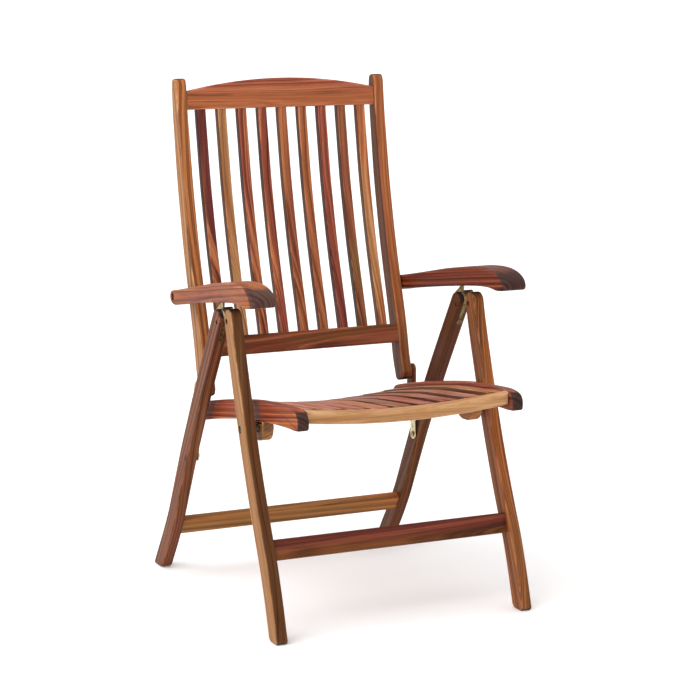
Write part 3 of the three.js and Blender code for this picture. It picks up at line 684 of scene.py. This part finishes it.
def disc(r0, r1, r, seg=28, centre=277.5, at=None, way=None):
    """A cylinder square to a leg's face, from r0 to r1 along the outward direction."""
    at, way = at or eye, way or eye_out
    n = Vector((0, way[0], way[1])).normalized()
    s, t = Vector((1, 0, 0)), n.cross(Vector((1, 0, 0)))
    v, f = [], []
    for d in (r0, r1):
        for k in range(seg):
            a = 2 * math.pi * k / seg
            v.append(Vector((centre, at[0], at[1])) + n * d + s * (r * math.cos(a)) + t * (r * math.sin(a)))
    for i in range(seg):
        j = (i + 1) % seg
        f.append((i, j, seg + j, seg + i))
    f += [list(range(seg))[::-1], [seg + i for i in range(seg)]]
    return mesh_from("disc", [tuple(x) for x in v], f, [0.0] * 2 * seg)


front_leg = prism("front_leg", foot_cut(band(FRONT_LEG, lambda z: 20.0, 60, 22)), LEG_IN, LEG_OUT, 3.4, fade=1.0)
front_leg = cut(front_leg, [
    recess(FRONT_LEG, 1, 561.5, 613, 267.5, 287.5),
    block([face(FRONT_LEG, 605, 1, LEAF + GAP + 0.6), face(FRONT_LEG, 605, 1, -8), (P1[0] + 8, P1[1] + 4), (P1[0] - 9, P1[1] + 8), step(fl_top_in, fl_dir, 20)], 267.5 - GAP, 287.5 + GAP),
    drill(P2, 4.4, 255, 300), drill(P2, 7.6, 284, 301),
    drill((231, 614), 5.6, 282, 300), drill((231, 614), 5.6, 255, 273)])
# painted light: the left leg's outer face is split to a lighter tan and brightened 1.62 for light from the left; inner
# faces get painted shade
two("front_leg", front_leg,
    (("tan", "brown", 11, dict(contrast=0.95, light=0.46, painted_sides=(0.9, 1.62), split=((1, 0, 0), -0.2896, -0.2862))), ("brown", "orange", 12, dict(contrast=1.0, patch=0.7, light=1.02, painted_sides=(0.95, 1.05)))),
    (0, 0.36, 0.93))

rear_leg = prism("rear_leg", foot_cut(band(REAR_LEG, lambda z: 20.0, 60, 22)), LEG_IN, LEG_OUT, 3.4, fade=1.0)
r596 = face(REAR_LEG, 596, -1, LEAF + GAP + 0.5)
rear_leg = cut(rear_leg, [
    recess(REAR_LEG, -1, 565.5, 600, 273.5, 281.5),
    disc(-LEAF - GAP, 6, 6 + GAP),
    block([r596, step(face(REAR_LEG, 599, -1, LEAF + GAP + 0.5), rl_dir, 26), step(face(REAR_LEG, 599, -1, -10), rl_dir, 20), face(REAR_LEG, 596, -1, -10)], 273.5 - GAP, 281.5 + GAP),
    block([(287.4, 587.3), (301.6, 595.3), (309.4, 609.6), (316, 622), (316, 634), (290, 650), (262, 645), (275.2, 634), (280.4, 612)], 275.5 - GAP, 279.5 + GAP),
    drill(P4, 3.9, 255, 284),
    drill((285, 605), 4.8, 255, 271.5), drill((285, 605), 4.8, 283.5, 300)])
two("rear_leg", rear_leg,
    (("brown", "purple", 21, dict(contrast=1.0, patch=0.35, light=0.82, painted_sides=(0.85, 1.0), knots=((-290, 470, 283, 7.0),))), ("brown", "purple", 22, dict(contrast=1.1, patch=0.5, light=0.56, sat=1.05, painted_sides=(0.85, 1.0)))),
    (0, -0.52, 0.85))

# ------------------------------------------------------------------ stretchers
def bar_outline(yc, zc, t, h, tilt, r=3.0):
    c, s = math.cos(tilt), math.sin(tilt)
    base = []
    for cx, cz, a in ((t / 2 - r, -h / 2 + r, -90), (t / 2 - r, h / 2 - r, 0), (-t / 2 + r, h / 2 - r, 90), (-t / 2 + r, -h / 2 + r, 180)):
        base += arc((cx, cz), r, a, a + 90, 6)
    return [(yc + a * c - b * s, zc + a * s + b * c) for a, b in base]


def single(node, me, main, second, axis, seed, **kw):
    return piece(f"fine_{node}", me, node, wood(f"{node}_wood", main, second, axis, middle(me), seed, **kw))


DEG = math.pi / 180
single("front_stretcher", prism("s", bar_outline(62.5, 173, 19, 42, -19 * DEG), -LEG_IN - 0.8, LEG_IN + 0.8, 0.5), "brown", "purple", (1, 0, 0), 31, bands=150, contrast=1.0, patch=0.3, light=0.86, pith=(0.02, 0.03), split=((0, 0, 1), 0.161, 0.180))
single("rear_stretcher", prism("s", bar_outline(571, 109, 20, 38, 30 * DEG), -LEG_IN - 0.8, LEG_IN + 0.8, 0.5), "olive", "orange", (1, 0, 0), 33, bands=150, contrast=0.8, patch=0.7, light=1.08)

# ------------------------------------------------------------------ seat
SEAT_TOP = [(-60, 462), (-12, 469.5), (10, 471), (70, 467), (124, 462.5), (180, 456.5), (239, 447.5), (300, 437), (378, 422.5), (433, 411), (500, 395.5), (530, 388)]
_t = curve(SEAT_TOP, np.linspace(0, 1, 400))


def top_z(y):
    return float(np.interp(y, _t[:, 0], _t[:, 1]))


ys = np.linspace(8, 482, 30)
rail_outline = [(-31, 431.8), (-8, 430.2), (8, top_z(8) - 41), *[(y, top_z(y) - 40.8) for y in ys[1:]],
                (499, top_z(499) - 38), (508, top_z(508) - 32), (513.5, top_z(513) - 22), (513.5, top_z(513) - 12), (508, top_z(508) - 3.5), (499, top_z(499) - 0.4),
                *[(y, top_z(y)) for y in ys[::-1]],
                (-10, 469.6), (-21, 467.6), (-30, 463), (-35.2, 456.4), (-37, 448), (-36.6, 438.5), (-35, 434)]
seat_rail = prism("rail", soften(rail_outline, 3.0, 3), RAIL_IN, RAIL_OUT, 4.0)
two("seat_side_rail", seat_rail,
    (("red", "orange", 41, dict(patch=0.9, spread=(0.44, 0.58), light=0.88, sat=1.03, painted_sides=(0.8, 1.1))), ("red", "brown", 42, dict(contrast=0.9, patch=0.7, painted_sides=(0.8, 1.1)))),
    (0, -1, 0.16), end=0.30, dark=0.6)


def dish(x):
    return 14 * (1 - (x / 226.5) ** 2)


def sink(y):
    return float(np.interp(y, [8, 60, 120, 300, 480], [0, 2.2, 3.4, 5, 7.5]))


def dished(half, h, top, n=40):
    xs = np.linspace(-half, half, n + 1)
    return [(x, top - h - dish(x)) for x in xs] + [(x, top - dish(x)) for x in xs[::-1]]


cross = RAIL_IN + 0.8
front_rail = prism("front_rail", dished(cross, 26.4, 469.4), -8, 22, 8.5, place=front, seg=8, fade=1.2)
single("seat_front_rail", front_rail, "pale", "tan", (1, 0, 0), 51, bands=150, contrast=0.65, patch=0.5, light=0.84)
rear_rail = prism("rear_rail", dished(cross, 28, 0), -11, 11, 3.0, place=front)
rear_rail.transform(Matrix.Translation((0, 0.31833, 0)))
rear_rail.transform(Matrix.Rotation(-13.5 * DEG, 4, "X"))
rear_rail.transform(Matrix.Translation((0, (491 - OY) / 1000, (top_z(491) - 1 - sink(491)) / 1000)))
single("seat_rear_rail", rear_rail, "brown", "red", (1, 0, 0), 52, contrast=0.8)

SEAT_WOODS = [("rose", "red"), ("rose", "brown"), ("red", "rose"), ("rose", "orange"), ("brown", "rose"), ("rose", "red"), ("red", "orange"), ("rose", "brown"), ("olive", "orange")]
# painted shade: the side faces of the seat slats are darkened to 0.3 and 0.4 for the shade in the gaps between slats
for i in range(9):
    x = (i - 4) * 51.7
    z0 = -1.2 - dish(x)
    end_top = 483.4 - 0.24 * (dish(x) + 2.9)
    end_bot = end_top - 3.9
    sy = list(np.linspace(3.0, 462, 26))
    out = [(y, top_z(y) - sink(y) + z0 - 16) for y in [*sy, end_bot]] + [(y, top_z(y) - sink(y) + z0) for y in [*sy, end_top][::-1]]
    me = prism("slat", out, x - 19.3, x + 19.3, 3.0, fade=1.5)
    main, second = SEAT_WOODS[i]
    single(f"seat_slat_{i + 1}", me, main, second, (0, -1, 0.16), 60 + i, contrast=0.8, patch=0.7, end=2.0, light=1.18, sat=0.96, flank=(0.3, 0.4))

hang = [*arc(P2, 26, 180, 270, 14), (182, 376.5), (194, 379.5), (203, 387), (208.5, 398), *[(y, top_z(y) - 41 - GAP) for y in (208.5, 195, 180, 165, 150, 139)]]
two("seat_pivot_block", prism("blk", soften(hang, 1.6, 2), RAIL_IN, RAIL_OUT, 2.4),
    (("tan", "olive", 71, dict(light=0.72)), ("tan", "orange", 72, dict(light=0.82))), (0, 1, -0.1), contrast=0.8, end=0.9)

tongue = prism("tongue", [*arc((479, 380), 14.5, 180, 360, 18), *arc((P5[0], P5[1] - 1.5), 13.2, 0, 180, 20)], RAIL_OUT + GAP, 259.4, 1.6, fade=0.8)
tongue = cut(tongue, [drill(P5, 4.4, 245, 265), drill(P5, 7.6, 255.4, 265)])
# painted shade: both hinge tongues are toned down (light 0.7 and 0.6) for the shadow they sit in beside the stile feet
two("back_hinge_tongue", tongue, (("purple", "brown", 75, dict(light=0.7)), ("orange", "brown", 76, dict(light=0.6))), (0, -0.06, 1))

# ------------------------------------------------------------------ back
STILE = [(470.5, 413), (477, 431), (489, 465), (500.6, 517), (513.5, 565), (524, 600), (543.6, 665), (553.5, 700), (566.5, 750), (578, 800), (589, 850), (598, 900), (606, 950), (614, 1000), (619.5, 1050), (622, 1081)]
STILE_W = [(417, 20), (465, 20.5), (517, 20.5), (600, 19.5), (700, 18.6), (800, 18), (900, 17.4), (1000, 16), (1081, 14.5)]


def stile_half(z):
    return float(np.interp(z, [a for a, _ in STILE_W], [b for _, b in STILE_W]))


o = band(STILE, stile_half, 60)
rear, fro = [np.array(p) for p in o[:61]], [np.array(p) for p in o[61:][::-1]]
lerp = lambda a, b, t: a + (b - a) * t
b0, b1, t0, t1 = rear[0], fro[0], rear[-1], fro[-1]
stile_outline = [lerp(b1, fro[3], 0.9), lerp(b1, b0, 0.2), lerp(b0, b1, 0.14), lerp(b0, rear[2], 0.9), *rear[3:58],
                 lerp(t0, rear[-4], 0.6), lerp(t0, t1, 0.12) + np.array((0, 0.5)), lerp(t0, t1, 0.45) + np.array((0, 3.0)), lerp(t0, t1, 0.85) + np.array((0, 1.0)), lerp(t1, fro[-4], 0.6),
                 *fro[4:58][::-1]]
stile = prism("stile", soften(stile_outline, 2.2, 2), STILE_IN, STILE_OUT, 4.2)
# painted light and shade: the stiles' side faces are darkened (right inner face to 0.36) for shade behind the slats,
# and the left stile's outer face is split to a lighter tan for light from the left
two("back_stile", stile,
    (("tan", "orange", 81, dict(contrast=0.9, painted_sides=(0.5, 0.78), split=((1, 0, 0), -0.2478, -0.2440))), ("orange", "brown", 82, dict(contrast=1.0, patch=0.8, light=0.9, sat=0.98, painted_sides=(0.36, 1.05)))),
    (0, 0.20, 0.98), pith=(0.05, 0.03))


def stile_at(z):
    m = solve(lambda t: curve(STILE, t)[0][1], z)
    return curve(STILE, m)[0], tangent(STILE, m)[0]


def rail_shift(z):
    return -8.5 + 7.0 * (z - 515) / 515


half_in = STILE_IN + 0.8
p, d = stile_at(514.5)
single("back_bottom_rail", prism("s", bar_outline(p[0] + rail_shift(514.5), 514.5, 22, 42, -math.atan2(d[0], d[1]), 3.2), -half_in, half_in, 0.5), "brown", "red", (1, 0, 0.01), 91, bands=150, patch=0.7, light=1.0, sat=0.98)
_, dt = stile_at(1040)
top_a = math.atan2(dt[0], dt[1])
xs = np.linspace(half_in, -half_in, 49)
top_rail = prism("top_rail", [(-half_in, 0), (half_in, 0), *[(x, 40 + 24.5 * (1 - (x / half_in) ** 2)) for x in xs]], -11, 11, 3.2, place=front)
top_rail.transform(Matrix.Translation((0, 0.31833, 0)))
top_rail.transform(Matrix.Rotation(-top_a, 4, "X"))
p, _ = stile_at(1016)
top_rail.transform(Matrix.Translation((0, (p[0] + rail_shift(1016) - OY) / 1000, 1.016)))
single("back_top_rail", top_rail, "orange", "red", (1, 0, 0.02), 95, bands=170, contrast=1.0, light=1.25, sat=0.96, split=((0, 0, 1), 1.030, 1.068))

BACK_WOODS = [("purple", "orange", 1.1), ("tan", "orange", 1.0), ("red", "orange", 1.12), ("red", "orange", 1.2), ("orange", "red", 1.02), ("orange", "red", 1.02), ("red", "purple", 1.18), ("olive", "red", 1.0), ("orange", "tan", 1.15)]
# painted shade: the narrow side faces of the back slats are darkened to 0.24 and 0.42 for the shade between
# neighbouring slats
for i in range(9):
    x = (i - 4) * 47.7
    rr, ff = [], []
    for z in np.linspace(531.5, 1020.5, 30):
        q, d = stile_at(z)
        c = np.array((q[0] + rail_shift(z), z))
        nn = np.array((d[1], -d[0]))
        rr.append(c + nn * 8.5)
        ff.append(c - nn * 8.5)
    me = prism("slat", [*rr, *ff[::-1]], x - 10.5, x + 10.5, 2.6, fade=1.4)
    main, second, li = BACK_WOODS[i]
    single(f"back_slat_{i + 1}", me, main, second, (0, 0.20, 0.98), 101 + i, contrast=1.0, patch=0.75, light=0.97 * li, sat=0.96, end=0.8, pith=(0.02 + 0.004 * i, 0.05), flank=(0.24, 0.42))

# ------------------------------------------------------------------ armrests
ARM_BOTTOM = [(556, 605.6), (537, 605.2), (513, 609.6), (440, 621.5), (368, 633), (299, 643.3), (231, 653), (175, 660), (140, 662.6), (118, 663.2), (100, 661.2), (84, 660.8), (70, 663)]
ARM_TOP = [(556, 633), (520, 640.5), (452, 653.4), (382, 667.2), (313, 681), (246, 692), (193, 700.2), (158, 703.2), (124, 703), (99, 699.5), (78, 692.5), (62, 683)]
_b, _u = curve(ARM_BOTTOM, np.linspace(0, 1, 300)), curve(ARM_TOP, np.linspace(0, 1, 300))
bz = lambda y: float(np.interp(y, _b[::-1, 0], _b[::-1, 1]))
uz = lambda y: float(np.interp(y, _u[::-1, 0], _u[::-1, 1]))
arm_outline = [(534, 604.8), (547, 606.4), (555, 612), (558.8, 620), (558.2, 628), (553, 634.6), (543, 637),
               *[(y, uz(y)) for y in (520, 486, 452, 417, 382, 347, 313, 279, 246, 218, 193, 158, 140, 124, 110, 99, 88, 78)],
               (67, 686.4), (60, 679), (57, 671.5), (58.6, 666), (64, 663.6),
               *[(y, bz(y)) for y in (74, 88, 102, 114, 127, 140, 158, 178, 204, 231, 265, 299, 334, 368, 404, 440, 477, 513)]]
ring = clean(soften(arm_outline, 2.6, 3), 0.05)
nose, tail = int(np.argmin(ring[:, 0])), int(np.argmax(ring[:, 0]))


def walk(a, b, n, ease=1.0):
    """n + 1 points along the outline from one place to another, closer together near the ends."""
    idx = [a]
    while idx[-1] != b:
        idx.append((idx[-1] + 1) % len(ring))
    q = ring[idx]
    s = np.concatenate([[0], np.cumsum(np.linalg.norm(np.diff(q, axis=0), axis=1))])
    t = (1 - np.cos(np.linspace(0, math.pi, n + 1))) / 2
    t = s[-1] * (ease * t + (1 - ease) * np.linspace(0, 1, n + 1))
    return np.stack([np.interp(t, s, q[:, 0]), np.interp(t, s, q[:, 1])], 1)


N_ARM = 64
lower, upper = walk(nose, tail, N_ARM, 0.9), walk(tail, nose, N_ARM, 0.9)
arm_pts = np.concatenate([lower[:-1], upper[:-1]])
OUTER = np.array([(50, 49), (57, 54.6), (59, 56.2), (62, 57.6), (67, 58.7), (75, 59.2), (90, 59.4), (115, 59), (150, 57), (190, 54), (240, 50), (300, 45.5), (360, 41.5), (420, 39.6), (480, 38.2), (530, 37.2), (562, 36.5)], float)
INNER = np.array([(50, 9), (57, 4.6), (61, 2.4), (66, 0.8), (72, 0.2), (80, 0), (562, 0)], float)
outer_x = lambda y: ARM_IN + np.interp(y, OUTER[:, 0], OUTER[:, 1])
inner_x = lambda y: ARM_IN + np.interp(y, INNER[:, 0], INNER[:, 1])
arm = prism("arm", arm_pts, inner_x, outer_x, 5.5, seg=5, paired=True, fade=2.0)
under = lambda y: 610 + (513 - y) * 0.1525
arm = cut(arm, [
    block([(424, under(424) - 12), (424, under(424) + 14), (150, under(150) + 14), (150, under(150) - 12)], 273, 282),
    drill(P6, 4.4, 245, 300), drill(P6, 8.2, 281, 300)])
# painted light and shade: the right armrest's side faces are brightened 1.4 and 1.65 over its top, the left armrest's
# darkened to 0.8 and 0.88
two("armrest", arm,
    (("orange", "red", 121, dict(contrast=1.05, patch=0.85, spread=(0.47, 0.56), light=0.95, sat=0.99, painted_sides=(0.8, 0.88))), ("red", "orange", 122, dict(contrast=1.05, patch=0.7, spread=(0.52, 0.62), light=0.5, sat=1.03, painted_sides=(1.4, 1.65)))),
    (0, -1, 0.13), end=0.28, pith=(0.03, 0.02))

# ------------------------------------------------------------------ bolts, washers and straps
bolt = lathe("b", [(218.5, 0), (218.5, 7.5), (225.8, 7.5), (225.8, 4), (252.2, 4), (252.2, 9), (264.6, 9), (264.6, 4), (284.4, 4), (284.4, 7), (288.4, 5.6), (288.4, 0)], P2)
pair_metal("seat_pivot_bolt", cut(bolt, drive(P2, 288.4, 3.4, 1.8)), STEEL)
bolt = lathe("b", [(256.2, 0), (256.2, 4.5), (257.4, 6.5), (259.4, 6.5), (259.4, 3.5), (262.4, 3.5), (262.4, 7), (264.6, 7), (264.6, 3.5), (283, 3.5), (283, 0)], P4)
pair_metal("link_bolt", cut(bolt, drive(P4, 256.2, 3.0, 1.4, out=-1.0)), ZINC)
bolt = lathe("b", [(228, 0), (228, 4), (248.8, 4), (248.8, 9), (251.4, 9), (251.4, 4), (255.8, 4), (255.8, 7), (259, 5.6), (259, 0)], P5)
pair_metal("back_hinge_bolt", cut(bolt, drive(P5, 259, 3.2, 1.4)), STEEL)
bolt = lathe("b", [(230, 0), (230, 4), (281.4, 4), (281.4, 7.6), (285.6, 6.2), (285.6, 0)], P6)
pair_metal("arm_pivot_bolt", cut(bolt, drive(P6, 285.6, 3.4, 1.6)), STEEL)
pair_metal("arm_pivot_washer", lathe("w", [(248.9, 4.4), (248.9, 11), (251.4, 11), (251.4, 4.4)], P6, 48), ZINC)
pair_metal("leg_hinge_pin", lathe("p", [(265.9, 0), (265.9, 3.8), (267.1, 3.8), (267.1, 2.4), (287.9, 2.4), (287.9, 3.8), (289.1, 3.8), (289.1, 0)], P1, 32, 0.2), STEEL)
sa = math.degrees(math.atan2(P5[1] - P4[1], P5[0] - P4[0]))
strap = prism("strap", [*arc(P4, 11.5, sa + 90, sa + 270, 24), *arc(P5, 11.5, sa - 90, sa + 90, 24)], 259.8, 262.1, 0.55, seg=3, fade=0.8)
strap = cut(strap, [drill(P4, 3.9, 250, 270), drill(P5, 4.6, 250, 270)])
pair_metal("link_strap", strap, BRASS)

# small screws: through the leaf on the front leg, in the eye on the rear leg, and pins across the leg tops
for hand, s in (("left", -1), ("right", 1)):
    def placed(me, name, node, mat):
        m = mirrored(me) if s < 0 else me
        piece(f"{name}_{hand}", m, f"{node}_{hand}", mat, replace=False)

    for k, z in enumerate((570, 587)):
        at, inn = face(FRONT_LEG, z, 1), face(FRONT_LEG, z, 1, 1)
        way = (at[0] - inn[0], at[1] - inn[1])
        head = disc(-0.6, 0.75, 3.1, 28, 277.5, at, way)
        n = Vector((0, *way)).normalized()
        slit = []
        for turn in (0.4, 0.4 + math.pi / 2):
            sx, st = Vector((1, 0, 0)), n.cross(Vector((1, 0, 0)))
            a, b = sx * math.cos(turn) + st * math.sin(turn), -sx * math.sin(turn) + st * math.cos(turn)
            c = Vector((277.5, at[0], at[1]))
            v = [c + a * i * 1.9 + b * j * 0.34 + n * d for d in (0.15, 2.0) for i, j in ((-1, -1), (1, -1), (1, 1), (-1, 1))]
            slit.append(mesh_from("t", [tuple(q) for q in v], [(0, 1, 2, 3), (7, 6, 5, 4), (0, 4, 5, 1), (1, 5, 6, 2), (2, 6, 7, 3), (3, 7, 4, 0)], [0.0] * 8))
        placed(cut(head, slit), f"leaf_screw_{k + 1}", "leg_hinge_front", ZINC)
    placed(disc(-1.6, -0.15, 2.3, 24), "eye_screw", "leg_hinge_rear", STEEL)
    placed(cut(disc(-0.2, 0.3, 5.4, 32), [disc(-1.0, 1.5, 2.5, 28)]), "eye_ring", "leg_hinge_rear", BRASS)
    placed(lathe("pin", [(268.5, 0), (268.5, 4.0), (270.9, 4.4), (270.9, 0)][::1], (285, 605), 28, 0.4), "leg_top_pin_inner", "recline_pin_plate", BRASS)
    placed(lathe("pin", [(284.0, 0), (284.0, 4.4), (286.2, 4.0), (286.2, 0)], (285, 605), 28, 0.4), "leg_top_pin_outer", "recline_pin_plate", BRASS)

# CAD nodes that keep their own shape
for stem, mat in (("leg_hinge_front", ZINC), ("leg_hinge_rear", SHADED_ZINC), ("recline_pin_plate", ZINC), ("arm_rack", RACK)):
    for hand in ("left", "right"):
        o = frame["nodes"][f"{stem}_{hand}"]
        for sl in o.material_slots:
            sl.material = mat
        if not o.material_slots:
            o.data.materials.append(mat)
        wl = o.modifiers.new("weld", "WELD")
        wl.merge_threshold = 1e-6
        bv = o.modifiers.new("bevel", "BEVEL")
        bv.width, bv.segments, bv.limit_method, bv.angle_limit = 0.0003, 2, "ANGLE", math.radians(40)
        wn = o.modifiers.new("normals", "WEIGHTED_NORMAL")
        wn.keep_sharp = False

# ------------------------------------------------------------------ floor, light and camera
bm = bmesh.new()
bmesh.ops.create_grid(bm, x_segments=24, y_segments=24, size=220.0)
me = bpy.data.meshes.new("floor")
bm.to_mesh(me)
bm.free()
floor = thing("floor", me)
T = Tree("floor_paper")
tc = T.node("ShaderNodeTexCoord")
n1 = T.noise(tc.outputs["Object"], 1.3, 3.0, 0.5)
T.put(T.shader.inputs["Base Color"], T.mix(T.span(n1, 0.3, 0.7), (0.93, 0.93, 0.93, 1), (0.938, 0.938, 0.937, 1)))
T.shader.inputs["Roughness"].default_value = 0.85
T.shader.inputs["Specular IOR Level"].default_value = 0.1
T.shader.inputs["Emission Color"].default_value = (1, 1, 1, 1)
T.shader.inputs["Emission Strength"].default_value = 0.14
me.materials.append(T.mat)

world = bpy.data.worlds.new("studio")
bpy.context.scene.world = world
world.use_nodes = True
bg = next(n for n in world.node_tree.nodes if n.type == "BACKGROUND")
nt = world.node_tree


def wnode(kind, *values, **props):
    n = nt.nodes.new(kind)
    for k, v in props.items():
        setattr(n, k, v)
    for i, v in enumerate(values):
        if isinstance(v, bpy.types.NodeSocket):
            nt.links.new(v, n.inputs[i])
        elif v is not None:
            n.inputs[i].default_value = v
    return n


# white room: brightest overhead, lighter towards the left and the back than towards the front
way = nt.nodes.new("ShaderNodeTexCoord").outputs["Generated"]
across = wnode("ShaderNodeVectorMath", way, (-0.55, 0.83, 0.0), operation="DOT_PRODUCT").outputs["Value"]
height = wnode("ShaderNodeSeparateXYZ", way).outputs[2]
level = wnode("ShaderNodeMath", across, 0.30, 0.72, operation="MULTIPLY_ADD").outputs[0]
level = wnode("ShaderNodeMath", wnode("ShaderNodeMath", height, height, operation="MULTIPLY").outputs[0], 0.5, level, operation="MULTIPLY_ADD").outputs[0]
nt.links.new(level, bg.inputs["Strength"])
bg.inputs["Color"].default_value = (1, 1, 1, 1)

sun = bpy.data.lights.new("overhead", "SUN")
sun.energy, sun.angle = 1.3, math.radians(50)
top = bpy.data.objects.new("overhead", sun)
bpy.context.scene.collection.objects.link(top)
top.rotation_mode = "QUATERNION"
top.rotation_quaternion = Vector((0.72, 0.22, -0.85)).to_track_quat("-Z", "Y")

cam = bpy.data.cameras.new("camera")
cam.lens, cam.sensor_width = 115.4, 36
cam.clip_start, cam.clip_end = 0.05, 600
camera = bpy.data.objects.new("camera", cam)
bpy.context.scene.collection.objects.link(camera)
back = Vector((-0.4219, -0.8901, 0.1724)).normalized()
camera.location = (-1.986, -4.2503, 1.341)
camera.rotation_mode = "QUATERNION"
camera.rotation_quaternion = (-back).to_track_quat("-Z", "Y")
bpy.context.scene.camera = camera
bpy.context.scene.view_settings.view_transform = "Standard"
bpy.context.scene.view_settings.look = "None"
